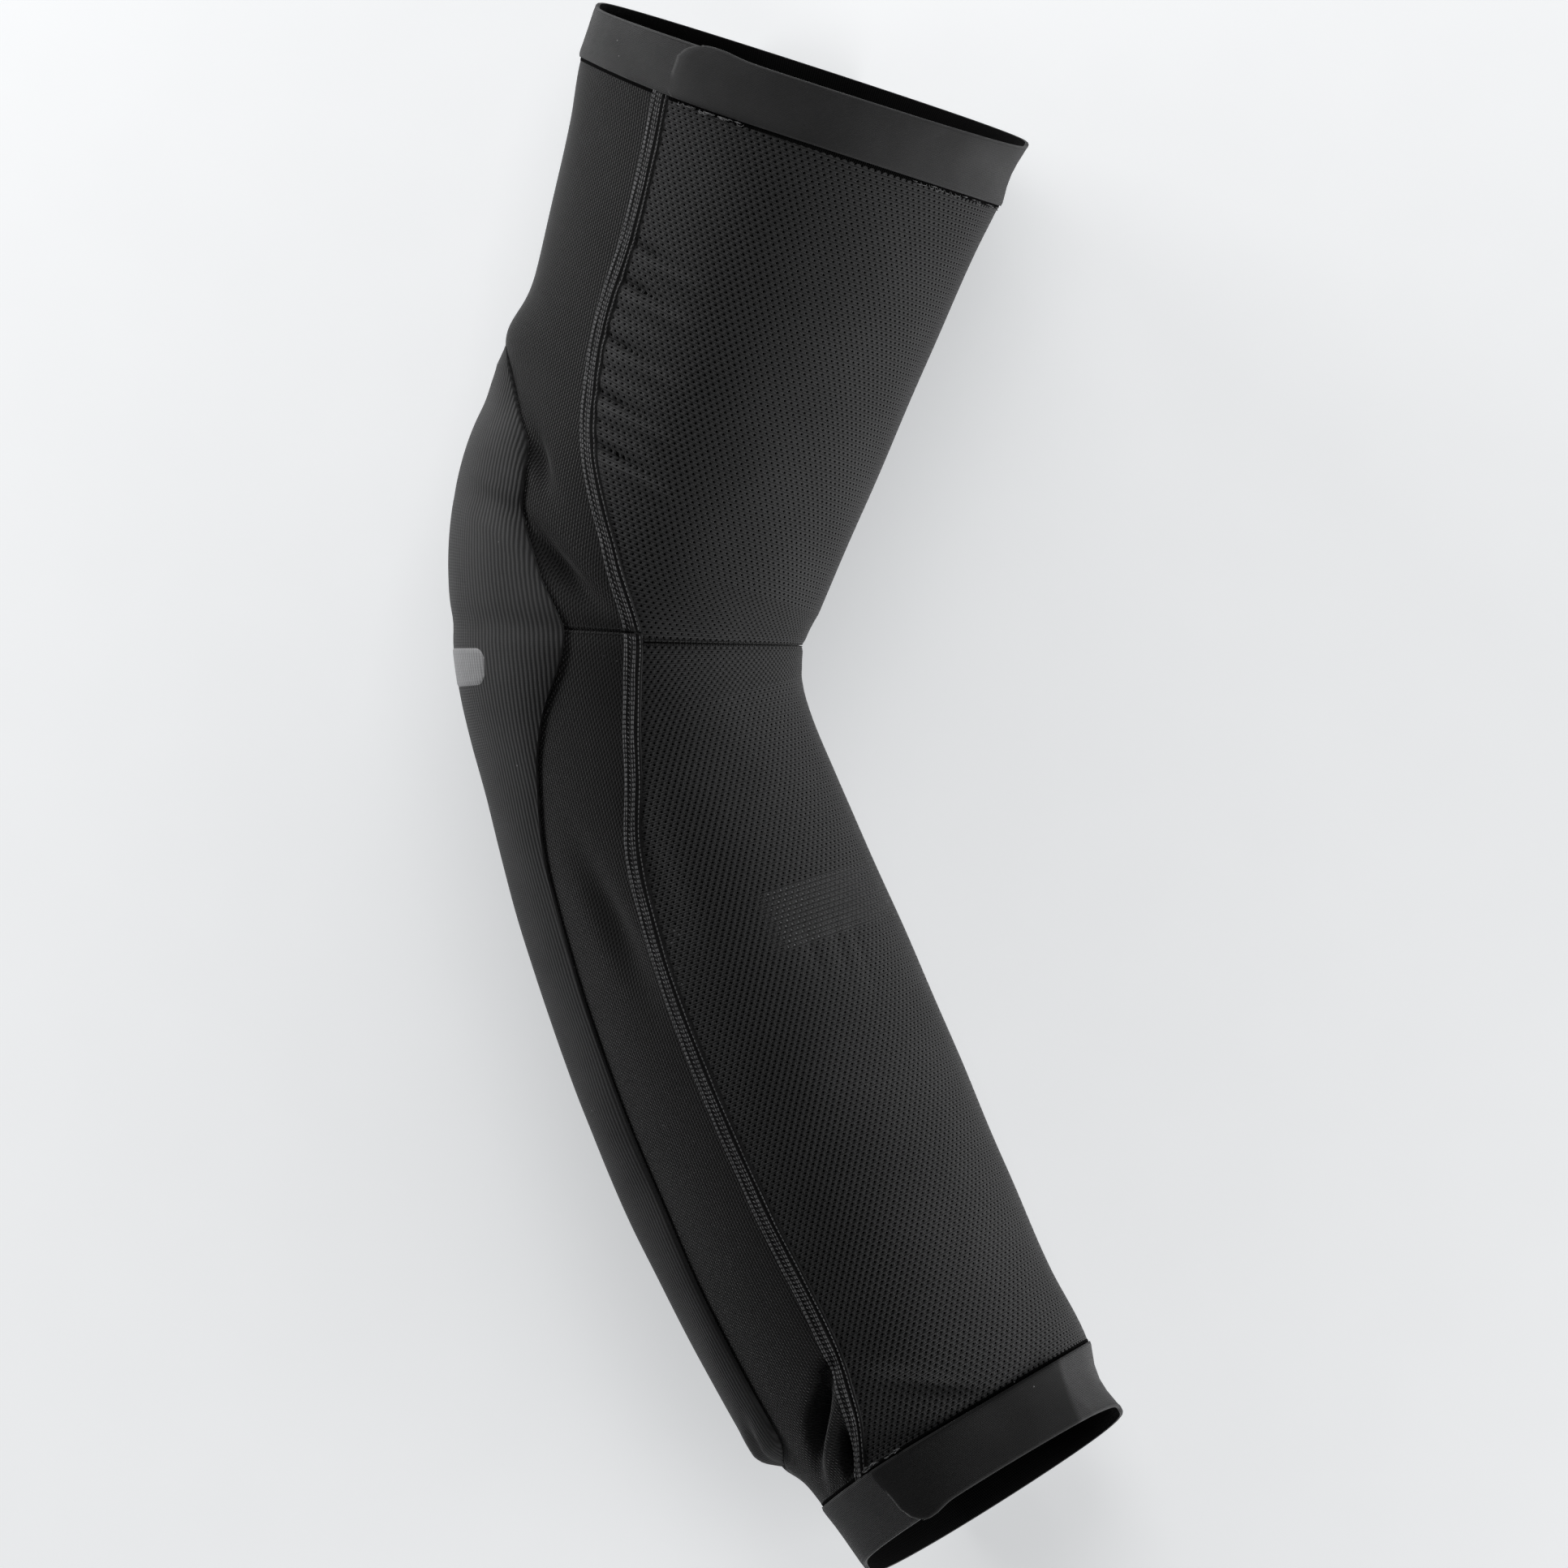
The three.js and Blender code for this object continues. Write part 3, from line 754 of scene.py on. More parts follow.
paint = bpy.data.materials.new("Pale floor")
paint.use_nodes = True
tree = paint.node_tree
grain = noise(Field(tree, tree.nodes.new("ShaderNodeTexCoord").outputs["Object"]), 40.0, 4)
for label, value in (
    ("Base Color", blend_colours(grain, (0.74, 0.745, 0.75, 1), (0.78, 0.785, 0.79, 1))),
    ("Emission Color", (0.96, 0.98, 1.0, 1)),
    ("Emission Strength", 0.45),
    ("Roughness", 0.9),
    ("Specular IOR Level", 0.1),
):
    put(value, tree.nodes["Principled BSDF"].inputs[label])
corners = 500 * floor_size * np.array([[-1, -1, 0], [1, -1, 0], [1, 1, 0], [-1, 1, 0]], float)
floor = new_piece("floor", corners, [[0, 1, 2, 3]], [paint])
pieces.pop("floor")
print("floor is", floor_size, "m wide")

# %% [markdown]
# ## The perforated front panels
# The crook side is an open mesh: rows of small oval holes, each row shifted by half a hole from the next.
# A picture of holes on a smooth sheet would be lighter, but then nothing shows through them, and on this
# sleeve the gripper band does. So every hole is cut: the sheet is laid out as bricks, and each brick is a
# ring of six squares round a hole whose edge sinks in a little, as round thick yarn. The holes are near
# black because behind them lies a closed sheet of near-black lining, which the one-layer sleeve does not
# have: it is painted shade for the dark inside of the sleeve, and keeps the lit table from showing
# through. Only the gripper band takes its place.

# %% Edges of the panels
cuff_height = {-1: 16.5, 1: 20.0}
back_hem_drop = 3.0
seam_half = 0.8
seam_gap = 0.3
sewn_in = 0.6
row_bow = 0.0021
bow_start = 46.0


def hem(end, angle):
    """Where a cuff's hem is: it dips towards the back of the arm."""
    back = np.maximum(0, -np.cos(np.radians(angle))) ** 3
    if end < 0:
        return -upper_length + cuff_height[end] - back_hem_drop * back
    return forearm_length - cuff_height[end] + 0.7 * back_hem_drop * back


def front_ends(end):
    """Where a front panel starts at the elbow seam, and where it runs in under its cuff."""
    return front_crease + end * seam_half, float(hem(end, 90)) + end * sewn_in


def front_edge(along):
    """Distance round the arm from the crook to the long seam."""
    return flatlock_angle(along) / degrees_for(1, along) - seam_gap


def front_point(along, across, height=0.0):
    """A place on the open mesh. On the upper arm its rows bow up towards the long seams."""
    beyond = np.maximum(np.abs(across) - bow_start, 0)
    bow = row_bow * beyond**2 * np.sin(np.pi * np.clip(-along / upper_length, 0, 1))
    return place(along - bow, across * degrees_for(1, along), height)


print("front panels end at", [round(front_ends(end)[1], 1) for _, end in ends], "mm from the elbow")

# %% Perforated sheet
hole_half_width = 0.27
hole_half_height = 0.33
hole_sink = 0.22
hole_margin = 0.4


def perforated(start, stop):
    """Bricks between two distances along the arm: points, faces and flat coordinates."""
    rows = int(round(abs(stop - start) / row_pitch))
    along = start + (stop - start) * np.arange(rows + 1) / rows
    edge = front_edge(along)
    reach = int(math.ceil(edge.max() / (hole_pitch / 2))) + 1
    steps = np.arange(-reach, reach + 1)
    width = len(steps)
    across = np.clip(steps[None, :] * hole_pitch / 2, -edge[:, None], edge[:, None])
    lattice = front_point(along[:, None], across)
    flat = flat_map(across, row_pitch * np.arange(rows + 1)[:, None])

    row, middle = np.meshgrid(np.arange(rows), np.arange(1, width - 1), indexing="ij")
    staggered = (steps[middle] + row) % 2 == 0
    row, middle = row[staggered], middle[staggered]
    centre = steps[middle] * hole_pitch / 2
    whole = np.abs(centre) + hole_pitch / 2 + hole_margin < np.minimum(edge[row], edge[row + 1])
    inside = np.abs(centre) - hole_pitch / 2 < np.maximum(edge[row], edge[row + 1])
    near_row, far_row = row * width + middle, (row + 1) * width + middle
    around = np.stack([near_row - 1, near_row, near_row + 1, far_row + 1, far_row, far_row - 1], -1)

    turn = np.radians([210, 270, 330, 30, 90, 150])
    hole_across = centre[whole, None] + hole_half_width * np.cos(turn)
    way = np.sign(stop - start)
    hole_along = (along[row] + along[row + 1])[whole, None] / 2 + way * hole_half_height * np.sin(turn)
    holes = front_point(hole_along, hole_across, -hole_sink)
    hole_flat = flat_map(hole_across, row_pitch * ((hole_along - start) * rows / (stop - start)))

    ring = lattice.shape[0] * lattice.shape[1] + np.arange(holes.shape[0] * 6).reshape(-1, 6)
    outer = around[whole]
    cut = np.stack([outer, np.roll(outer, -1, 1), np.roll(ring, -1, 1), ring], -1).reshape(-1, 4)
    solid = around[inside & ~whole]
    faces = np.concatenate([cut, solid[:, [0, 1, 4, 5]], solid[:, [1, 2, 3, 4]]])
    points = np.concatenate([lattice.reshape(-1, 3), holes.reshape(-1, 3)])
    uv = np.concatenate([flat.reshape(-1, 2), hole_flat.reshape(-1, 2)])
    return (points, faces, uv), len(holes), band_area(along, 2 * edge)


print("each hole is", 2 * hole_half_width, "by", 2 * hole_half_height, "mm")

# %% Front panels
shade_sheet_depth = 0.6
shade_sheet_columns = 90
shade_sheet_step = 1.5
shade_sheet_spare = 0.2
gripper_at = 70.0
gripper_height = 18.0
gripper_lap = 0.4


def shade_sheet(start, stop):
    """A closed near-black sheet behind the holes between two distances along the arm, painted shade for the
    dark inside of the sleeve.
    """
    along = np.linspace(start, stop, max(int(abs(stop - start) / shade_sheet_step), 3))[:, None]
    across = (front_edge(along) + shade_sheet_spare) * np.linspace(-1, 1, shade_sheet_columns)[None, :]
    uv = flat_map(across, np.abs(along - front_crease))
    return front_point(along, across, -shade_sheet_depth), grid_faces(len(along), shade_sheet_columns), uv


for arm, end in ends:
    name = arm + "_front_panel"
    first, last = front_ends(end)
    sheet, holes, areas[name] = perforated(first, last)
    band = [gripper_at + gripper_lap, gripper_at + gripper_height - gripper_lap] if end > 0 else []
    stops = [first, *band, last]
    # The sheets behind the holes take the near-black lining: painted shade.
    points, faces, uv, part = joined(sheet, *(shade_sheet(*pair) for pair in zip(stops[::2], stops[1::2])))
    new_piece(name, points, faces, [cloths["open_mesh"], cloths["lining"]], uv, np.minimum(part, 1))
    print(name, "has", holes, "holes and a flat area of", round(areas[name], 4), "square metres")

# %% [markdown]
# ## The fine mesh back panels
# Behind the long seams the cloth is a closed pique mesh with dents under a millimetre apart. Those are
# too small to cut one by one, so they are relief in the finish, painted almost black as shade, and the
# folds are real: the grid is fine enough for the soft valleys behind the elbow and the deep folds above
# the wrist.

# %% Back panels
cloth_step = 0.9
back_columns = 161


def back_panel(name, end):
    start = back_crease + end * seam_half
    rows = int(round(abs(float(hem(end, 150)) - start) / cloth_step)) + 1
    share = np.linspace(0, 1, rows)[:, None]
    middle = start + (float(hem(end, 127)) - start) * share
    seam = flatlock_angle(middle) + degrees_for(seam_gap, middle)
    angle = seam + (360 - 2 * seam) * np.linspace(0, 1, back_columns)[None, :]
    along = start + (hem(end, angle) + end * sewn_in - start) * share
    across = (angle - 180) / degrees_for(1, along)
    areas[name] = band_area(along[:, 0], np.abs(2 * across[:, 0]))
    points, faces = place(along, angle), grid_faces(rows, back_columns)
    return new_piece(name, points, faces, [cloths["fine_mesh"]], flat_map(across, along - start))


for arm, end in ends:
    name = arm + "_back_panel"
    back_panel(name, end)
    print(name, "flat area", round(areas[name], 4), "square metres")

# %% [markdown]
# ## Stitches
# A seam on sportswear is a flatlock: the two edges meet, and a band of interlocked threads lies flat over
# them. From outside it shows two double rows of light stitches, a dark groove and one weak row. The band is
# a grid with that profile, and every stitch is a short thread that dives into the cloth at both ends.

# %% Short threads
def threads(path, radius, sides=5):
    """Little tubes. path[stitch, step] are their middles in millimetres, thinner at both ends."""
    count, steps = path.shape[:2]
    taper = np.sin(np.linspace(0.18, 0.82, steps) * np.pi) ** 0.6
    ahead = np.gradient(path, axis=1)
    ahead /= np.linalg.norm(ahead, axis=-1, keepdims=True)
    up = np.zeros_like(path)
    up[..., 2] = 1
    up[np.abs(ahead[..., 2]) > 0.8] = (1, 0, 0)
    side = np.cross(ahead, up)
    side /= np.linalg.norm(side, axis=-1, keepdims=True)
    over = np.cross(side, ahead)
    turn = 2 * np.pi * np.arange(sides) / sides
    spread = side[..., None, :] * np.cos(turn)[:, None] + over[..., None, :] * np.sin(turn)[:, None]
    rings = path[..., None, :] + radius * taper[:, None, None] * spread
    quads = grid_faces(steps, sides, ring=True)
    faces = (quads[None] + (np.arange(count) * steps * sides)[:, None, None]).reshape(-1, 4)
    return rings.reshape(-1, 3), faces, np.zeros((count * steps * sides, 2))


print("a thread of 4 steps has", len(threads(np.arange(12.0).reshape(1, 4, 3), 0.1)[1]), "faces")

# %% Flatlock seams
flatlock_half = 2.5
flatlock_columns = 17
flatlock_step = 0.6
flatlock_profile = through([
    (-flatlock_half, -0.25), (-2.25, 0.15), (-1.7, 0.5), (-1.1, 0.28), (-0.5, 0.42), (0.2, 0.5),
    (0.7, 0.3), (0.95, 0.02), (1.25, 0.02), (1.6, 0.34), (2.0, 0.24), (flatlock_half, -0.25),
])
stitch_rows = [  # offset, length, slant, radius, shift
    (-1.95, 0.8, 0, 0.17, 0.0),
    (-1.5, 0.8, 0, 0.17, 0.06),
    (-0.75, 0.7, 38, 0.13, 0.45),
    (0.0, 0.8, 0, 0.16, 0.55),
    (0.45, 0.8, 0, 0.16, 0.61),
    (1.6, 0.75, 0, 0.12, 0.3),
]


def seam_point(side, along, offset, height):
    return place(along, side * (flatlock_angle(along) + degrees_for(-offset, along)), height, 0.7)


def stitch_row(side, first, last, offset, length, slant, radius, shift):
    """One row of stitches beside the seam's line."""
    middles = np.arange(first + shift, last, stitch_pitch)
    step = np.linspace(-0.5, 0.5, 4)[None, :] * length
    wobble = 0.07 * np.sin(5.1 * middles + 9 * offset)[:, None]
    at = middles[:, None] + step * math.cos(math.radians(slant))
    out = offset + wobble + step * math.sin(math.radians(slant))
    lift = flatlock_profile(out) + 0.12 - 0.5 * step**2
    return threads(seam_point(side, at, out, lift), radius)


def flatlock(name, side, end):
    start, stop = back_crease + end * 0.3, float(hem(end, 127)) + end * 0.5
    rows = int(abs(stop - start) / flatlock_step)
    along = np.linspace(start, stop, rows)[:, None]
    offset = np.linspace(-flatlock_half, flatlock_half, flatlock_columns)[None, :]
    height = flatlock_profile(offset) * (1 + 0.1 * np.cos(2 * np.pi * along / (2 * stitch_pitch)))
    points = seam_point(side, along, offset, height)
    band = points, grid_faces(rows, flatlock_columns), flat_map(offset, along)
    first, last = min(start, stop) + flatlock_step, max(start, stop) - flatlock_step
    points, faces, uv, part = joined(band, *(stitch_row(side, first, last, *row) for row in stitch_rows))
    return new_piece(name, points, faces, [cloths["seam_knit"], cloths["thread"]], uv, np.minimum(part, 1))


for arm, end in ends:
    for where, side in (("near", 1), ("far", -1)):
        seam = flatlock(f"{where}_{arm}_flatlock", side, end)
        print(seam.name, "has", len(seam.data.polygons), "faces")

# %% [markdown]
# ## The elbow crease seams
# The upper and lower panels are joined right at the elbow. That seam shows as a dark line with a low roll
# on each side of it, so it is a narrow strip with a groove down its middle.

# %% Crease seams
crease_profile = [
    (-1.1, -0.1), (-0.7, 0.05), (-0.3, 0.02), (0.0, -0.9), (0.3, 0.02), (0.7, 0.05), (1.1, -0.1),
]
crease_top = 0.3
crease_stitches = 0.68


def crease_seam(name, middle, first, last):
    columns = int(abs(last - first) / degrees_for(cloth_step, middle)) + 1
    angle = np.linspace(first, last, columns)[None, :]
    offset, height = np.array(crease_profile).T[:, :, None]
    uv = flat_map(angle / degrees_for(1, middle), offset)
    strip = place(middle + offset, angle, height, crease_top)
    parts = [(strip, grid_faces(len(crease_profile), columns), uv)]
    middles = np.arange(first, last, degrees_for(stitch_pitch, middle)) + degrees_for(0.6, middle)
    step = np.linspace(-0.35, 0.35, 4)[None, :]
    at = middles[:, None] + degrees_for(1, middle) * step
    for side in (-crease_stitches, crease_stitches):
        parts.append(threads(place(middle + side, at, 0.1 - 0.6 * step**2, crease_top), 0.08, 4))
    points, faces, uv, _ = joined(*parts)
    return new_piece(name, points, faces, [cloths["fine_mesh"]], uv)


back_edge = float(flatlock_angle(back_crease))
front_seam_edge = float(flatlock_angle(front_crease) - degrees_for(0.6, front_crease))
crease_seam("back_crease_seam", back_crease, back_edge - 1.0, 361.0 - back_edge)
crease_seam("front_crease_seam", front_crease, -front_seam_edge, front_seam_edge)
print("crease seams meet the long seams at", round(back_edge, 1), "degrees")

# %% [markdown]
# ## The folded cuffs
# Each cuff is one strip of fine knit folded in half over an elastic. Its ends overlap on the near side,
# where the upper end has a rounded corner. A flat ring would miss that, so the cloth is followed all the
# way: up the outside, over a soft fold at the rim and down the inside, with a real thickness, and the lap
# lifts over the last forty degrees.

# %% Edges of the cuffs
rim_dip = {-1: 2.0, 1: 3.5}
cuff_waist = {-1: 1.0, 1: 1.7}
lap_proud = 0.55
lap_run = 40
ridge_height = 1.0


def rim(end, angle):
    """Where a cuff's fold is: nearer the hem on the upper side than next to the table."""
    s = np.sin(np.radians(angle))
    dip = rim_dip[end] * np.sign(s) * np.sqrt(np.abs(s))
    return -upper_length + dip if end < 0 else forearm_length - dip


def lap_edge(end, share):
    """Angle of the lap's edge, from the hem at 0 to the rim at 1, with its rounded corner."""
    corner = -6 * np.clip((share - 0.66) / 0.34, 0, 1) ** 2.2
    if end < 0:
        return 126.0 + corner - 1.8 * np.clip(1 - share / 0.18, 0, 1) ** 2
    return 128.4 - 3.2 * share + 0.8 * corner


def lap_lift(behind):
    """How far the cloth lifts, from its distance to the lap's edge in degrees."""
    return lap_proud * np.clip(1 - behind / lap_run, 0, 1) ** 2


def waist(end, share, angle):
    """How far a cuff is drawn in between its hem and its rim, on the crook side, in millimetres."""
    crook_side = np.clip(np.cos(np.radians(angle)), 0, 1) ** 3
    return cuff_waist[end] * np.sin(np.pi * np.clip(share, 0, 1)) * crook_side


def cuff_ridge(end, share, angle):
    """A slanting ridge across the lower cuff on the crook side."""
    if end < 0:
        return 0.0
    off = ((angle + 180) % 360 - 180) - (37 + 9 * (1 - share))
    return ridge_height * np.exp(-np.abs(off) / np.where(off > 0, 12, 6))


print("the lap of the upper cuff ends at", float(lap_edge(-1, 0.5)), "degrees")

# %% Section of a cuff
cuff_proud = 0.6
cuff_layer = 0.6
elastic_thickness = 0.5
cuff_depth = 2 * cuff_layer + elastic_thickness + 0.6
rim_depth = 1.3
# The faces from these section points on lie on the inside of the fold and are painted near black as shade.
inner_points = range(11, 18)


def cuff_section():
    """The folded strip seen from its end: (share from hem to rim, height, end offset) round the cloth."""

    def bent(turns, share, start, reach):
        """The cloth round the fold at the rim."""
        heights = [cuff_proud - rim_depth / 2 * (1 - share * np.sin(t)) for t in turns]
        return [(1.0, height, start - reach * (1 - np.cos(t))) for height, t in zip(heights, turns)]

    bottom = cuff_proud - cuff_depth
    rise = [0, 0.05, 0.12, 0.3, 0.5, 0.7, 0.86, 0.95]
    bulge = [-0.12, 0.12, 0.14, 0.02, 0.0, 0.04, 0.06, -0.02]
    outside = [(s, cuff_proud + b, 0.0) for s, b in zip(rise, bulge)]
    turn = np.radians([70, 40, 0, -40, -70])
    fold = bent(turn, 1, 0, 0.7)
    inside = [(0.9, (bottom + cuff_proud - rim_depth) / 2, 0.0)]
    inside += [(s, bottom, 0.0) for s in (0.7, 0.05, 0.0)]
    back = [(s, bottom + cuff_layer, 0.0) for s in (0.0, 0.5, 0.7)]
    under = bent(-turn, 0.4, -0.6, 0.3)
    front = [(s, cuff_proud - cuff_layer, 0.0) for s in (0.88, 0.5, 0.0)]
    return np.array(outside + fold + inside + back + under + front)


def cuff_faces(rows, count):
    """Squares along the strip with a cap at each end, and which of them, on the inside of the fold, are
    painted near black as shade.
    """
    faces = grid_faces(rows, count, ring=True).tolist()
    shaded_inside = [int(k % count in inner_points) for k in range(len(faces))]
    for row, flip in ((0, True), ((rows - 1) * count, False)):
        for k in range(count // 2 - 1):
            cap = [row + k, row + k + 1, row + count - k - 2, row + count - k - 1]
            faces.append(cap[::-1] if flip else cap)
    return faces, shaded_inside + [0] * (len(faces) - len(shaded_inside))


section = cuff_section()
print("a cuff's section has", len(section), "points")

# %% Cuffs
def cuff(name, end):
    share, height, offset = section.T[:, None, :]
    turns = np.concatenate([[0, 0.004, 0.01], np.linspace(0.02, 0.98, 240), [0.99, 0.996, 1]])[:, None]
    edge = lap_edge(end, np.clip(share, 0, 1))
    angle = edge - 1.5 + 361.5 * turns
    behind = edge + 360 - angle
    lap = lap_lift(behind)
    soft_edge = 0.5 * np.clip(1 - behind / 2.4, 0, 1) ** 2
    ridge = cuff_ridge(end, share, angle)
    waves = 0.1 * np.sin(np.radians(angle) * 7 + 2 * share) * share - waist(end, share, angle)
    rise = height + lap - soft_edge * (height > 0) + ridge + waves
    lap_reach = 1 + 0.06 * share * np.exp(-(((behind - 5) / 6) ** 2))
    low, high = hem(end, angle), rim(end, angle)
    along = low + (high - low) * share * lap_reach + end * offset
    points = place(along, angle, rise, cuff_proud + 0.3 + lap + ridge + waves)
    steps = np.hypot(np.diff(section[:, 0]) * 18, np.diff(section[:, 1]))
    length = np.concatenate([[0], np.cumsum(steps)])[None, :]
    uv = flat_map((angle - strip_start) / degrees_for(1, along), length)
    faces, shaded_inside = cuff_faces(len(turns), len(section))
    # The inside of each fold takes the near-black lining: painted shade inside the sleeve.
    return new_piece(name, points, faces, [cloths[name], cloths["lining"]], uv, shaded_inside)


for arm, end in ends:
    name = arm + "_cuff"
    cuff(name, end)
    around = place(0.5 * (hem(end, 0) + rim(end, 0)), np.arange(0, 361, 3))
    girth = np.linalg.norm(np.diff(around, axis=0), axis=1).sum()
    areas[name] = girth * 2 * cuff_height[end] * 1e-6
    print(name, "girth", round(float(girth)), "mm")

# %% [markdown]
# ## Elastic and hem stitches
# Inside each fold runs a woven elastic. Where the panels are sewn to the cuff, an overlock seam is turned
# to the inside, so that from outside only its roll shows under the hem, as a narrow dark line: the roll is
# near-black lining, a painted shadow line. In places a few loops of its thread stand out from under the
# cuff.

# %% Cuff elastics
round_steps = 240
elastic_section = [
    (0, 0.1), (0, 0.9), (0.03, 1), (0.5, 1), (0.97, 1), (1, 0.9), (1, 0.1), (0.97, 0), (0.5, 0), (0.03, 0),
]


def cuff_elastic(name, end):
    angle = np.linspace(126, 484, round_steps)[:, None]
    low = hem(end, angle) + end * 1.0
    high = rim(end, angle) - end * 1.6
    top = cuff_proud + lap_lift(485 - angle)
    outer = cuff_proud - cuff_layer - 0.3
    inner = outer - elastic_thickness
    share, face = np.array(elastic_section).T[:, None, :]
    narrow = waist(end, share, angle)
    points = place(low + (high - low) * share, angle, inner + (outer - inner) * face - narrow, top - narrow)
    count = len(elastic_section)
    faces = grid_faces(round_steps, count, ring=True).tolist()
    faces += [list(range(count))[::-1], [(round_steps - 1) * count + k for k in range(count)]]
    girth = np.sum(degrees_for(1, low) ** -1) / round_steps * 360
    areas[name] = float(girth * np.mean(np.abs(high - low))) * 1e-6
    uv = flat_map(angle / degrees_for(1, low), 12 * share)
    return new_piece(name, points, faces, [cloths["elastic"]], uv)


for arm, end in ends:
    name = arm + "_cuff_elastic"
    cuff_elastic(name, end)
    print(name, "flat area", round(areas[name], 4), "square metres")

# %% Overlock seams under the cuffs
rng = np.random.default_rng(7)
loose_stretches = {-1: [(103, 121), (8, 56)], 1: [(112, 132)]}
loops_in_stretch = 26
overlock_section = [
    (-0.5, 0.0), (0.1, 0.1), (0.4, 0.12), (0.8, 0.08), (1.1, -0.2), (1.1, -1.2), (0.4, -1.35), (-0.5, -1.2),
]


def loose_loop(end, spot, wide, tall, rise):
    """One loop of thread that stands out from under the cuff."""
    t = np.linspace(0, np.pi, 9)
    turn = spot + degrees_for(1, hem(end, spot)) * wide * np.cos(t)
    away = 0.3 + (0.5 + tall) * np.sin(t) + 0.2 * np.cos(2 * t)
    return place(hem(end, turn) - end * away, turn, 0.2 + rise * np.sin(t), 1.0)


def cuff_seam(name, end):
    angle = np.linspace(0, 360, round_steps + 1)[:-1][:, None]
    out, height = np.array(overlock_section).T[:, None, :]
    points = place(hem(end, angle) - end * out, angle, height, 0.3)
    uv = flat_map(angle / degrees_for(1, hem(end, 0)), out)
    ring = np.arange(points[..., 0].size).reshape(round_steps, -1)
    ahead = np.roll(ring, -1, 0)
    faces = np.stack([ring, np.roll(ring, -1, 1), np.roll(ahead, -1, 1), ahead], -1).reshape(-1, 4)
    parts = [(points, faces, uv)]
    for first, last in loose_stretches[end]:
        spots = rng.uniform(first, last, loops_in_stretch)
        loops = [
            loose_loop(end, spot, rng.uniform(0.4, 1.0), rng.uniform(-0.2, 0.8), rng.uniform(0.3, 0.8))
            for spot in spots
        ]
        parts.append(threads(np.array(loops), 0.085, 4))
    points, faces, uv, part = joined(*parts)
    # The roll is near-black lining, a painted shadow line along the hem. The loose loops are thread.
    return new_piece(name, points, faces, [cloths["lining"], cloths["thread"]], uv, np.minimum(part, 1))


for arm, end in ends:
    seam = cuff_seam(arm + "_cuff_seam", end)
    print(seam.name, "has", len(seam.data.polygons), "faces")

# %% [markdown]
# ## The gripper band
# Inside the forearm a narrow band keeps the sleeve from slipping. It is a strip of dark elastic with a
# pale silicone print: a broad smooth patch over the crook side, and single dots near each long seam. Only
# the holes of the mesh show it. The patch and the dots are raised as they are on the real strip.

# %% Gripper strip
gripper_outer = -1.35
gripper_inner = -2.2
gripper_margin = 1.2
gripper_rows, gripper_columns = 31, 220
patch_edge = 76.0
patch_half = 0.47
patch_rise = 0.85


def gripper_strip():
    """The strip with its patch pressed up from it, and which of its faces are silicone."""
    share = np.linspace(0, 1, gripper_rows)[:, None]
    along = gripper_at + gripper_height * share
    edge = flatlock_angle(along) - degrees_for(gripper_margin, along)
    angle = edge * np.linspace(-1, 1, gripper_columns)[None, :]
    inside = np.maximum(np.abs(angle) / patch_edge, np.abs(share - 0.5) / patch_half)
    outer = place(along, angle, gripper_outer + patch_rise * np.clip(12 * (1 - inside), 0, 1))
    inner = place(along, angle, gripper_inner)
    uv = flat_map(angle / degrees_for(1, along), along - gripper_at)
    faces = grid_faces(gripper_rows, gripper_columns)
    number = np.arange(inside.size).reshape(gripper_rows, gripper_columns)
    border = np.concatenate([number[0], number[1:, -1], number[-1, -2::-1], number[-2:0:-1, 0]])
    ahead = np.roll(border, -1)
    wall = np.stack([border, ahead, ahead + number.size, border + number.size], -1)
    closed = np.concatenate([faces, faces[:, ::-1] + number.size, wall[:, ::-1]])
    printed = np.zeros(len(closed), int)
    printed[: len(faces)] = (inside.ravel()[faces] < 1).all(1)
    areas["gripper_band"] = band_area(along[:, 0], 2 * edge[:, 0] / degrees_for(1, along[:, 0]))
    return (np.concatenate([outer, inner]), closed, np.concatenate([uv, uv])), printed


strip, printed = gripper_strip()
print("gripper band flat area", round(areas["gripper_band"], 4), "square metres")

# %% Silicone dots
dot_places = [
    (74.5, 111), (75.8, 111), (73.5, 106), (74.8, 105.5), (75.5, 108.5),
    (81.3, 112), (82, 109.5), (85, 111.5), (86.3, 111), (87.2, 110.5),
]
dot_rings = ((0.6, -0.02), (0.52, 0.5), (0.34, 0.8), (0.02, 0.88))
dot_sides = 10


def hole_near(along, angle):
    """The middle of the hole of the lower front panel that is nearest to a place."""
    first, last = front_ends(1)
    step = (last - first) / round((last - first) / row_pitch)
    row = int((along - first) / step)
    column = 2 * round((angle / degrees_for(hole_pitch / 2, along) - row) / 2) + row
    middle = first + (row + 0.5) * step
    return middle, float(column * degrees_for(hole_pitch / 2, middle))


def silicone_dot(angle, along):
    """A little dome of silicone on the strip."""
    turn = 2 * np.pi * np.arange(dot_sides) / dot_sides
    radius, height = np.array(dot_rings).T[:, :, None]
    down = along + radius * np.sin(turn)
    dome = place(down, angle + degrees_for(1, down) * radius * np.cos(turn), gripper_outer + height)
    return dome, grid_faces(len(dot_rings), dot_sides, ring=True), np.zeros((len(dot_rings) * dot_sides, 2))


spots = sorted({hole_near(*where) for where in dot_places})
dots = [silicone_dot(side * angle, along) for along, angle in spots for side in (-1, 1)]
points, faces, uv, _ = joined(strip, *dots)
kind = np.concatenate([printed, np.ones(len(faces) - len(printed), int)])
new_piece("gripper_band", points, faces, [cloths["elastic"], cloths["silicone"]], uv, kind)
print("dots on each side:", len(spots))

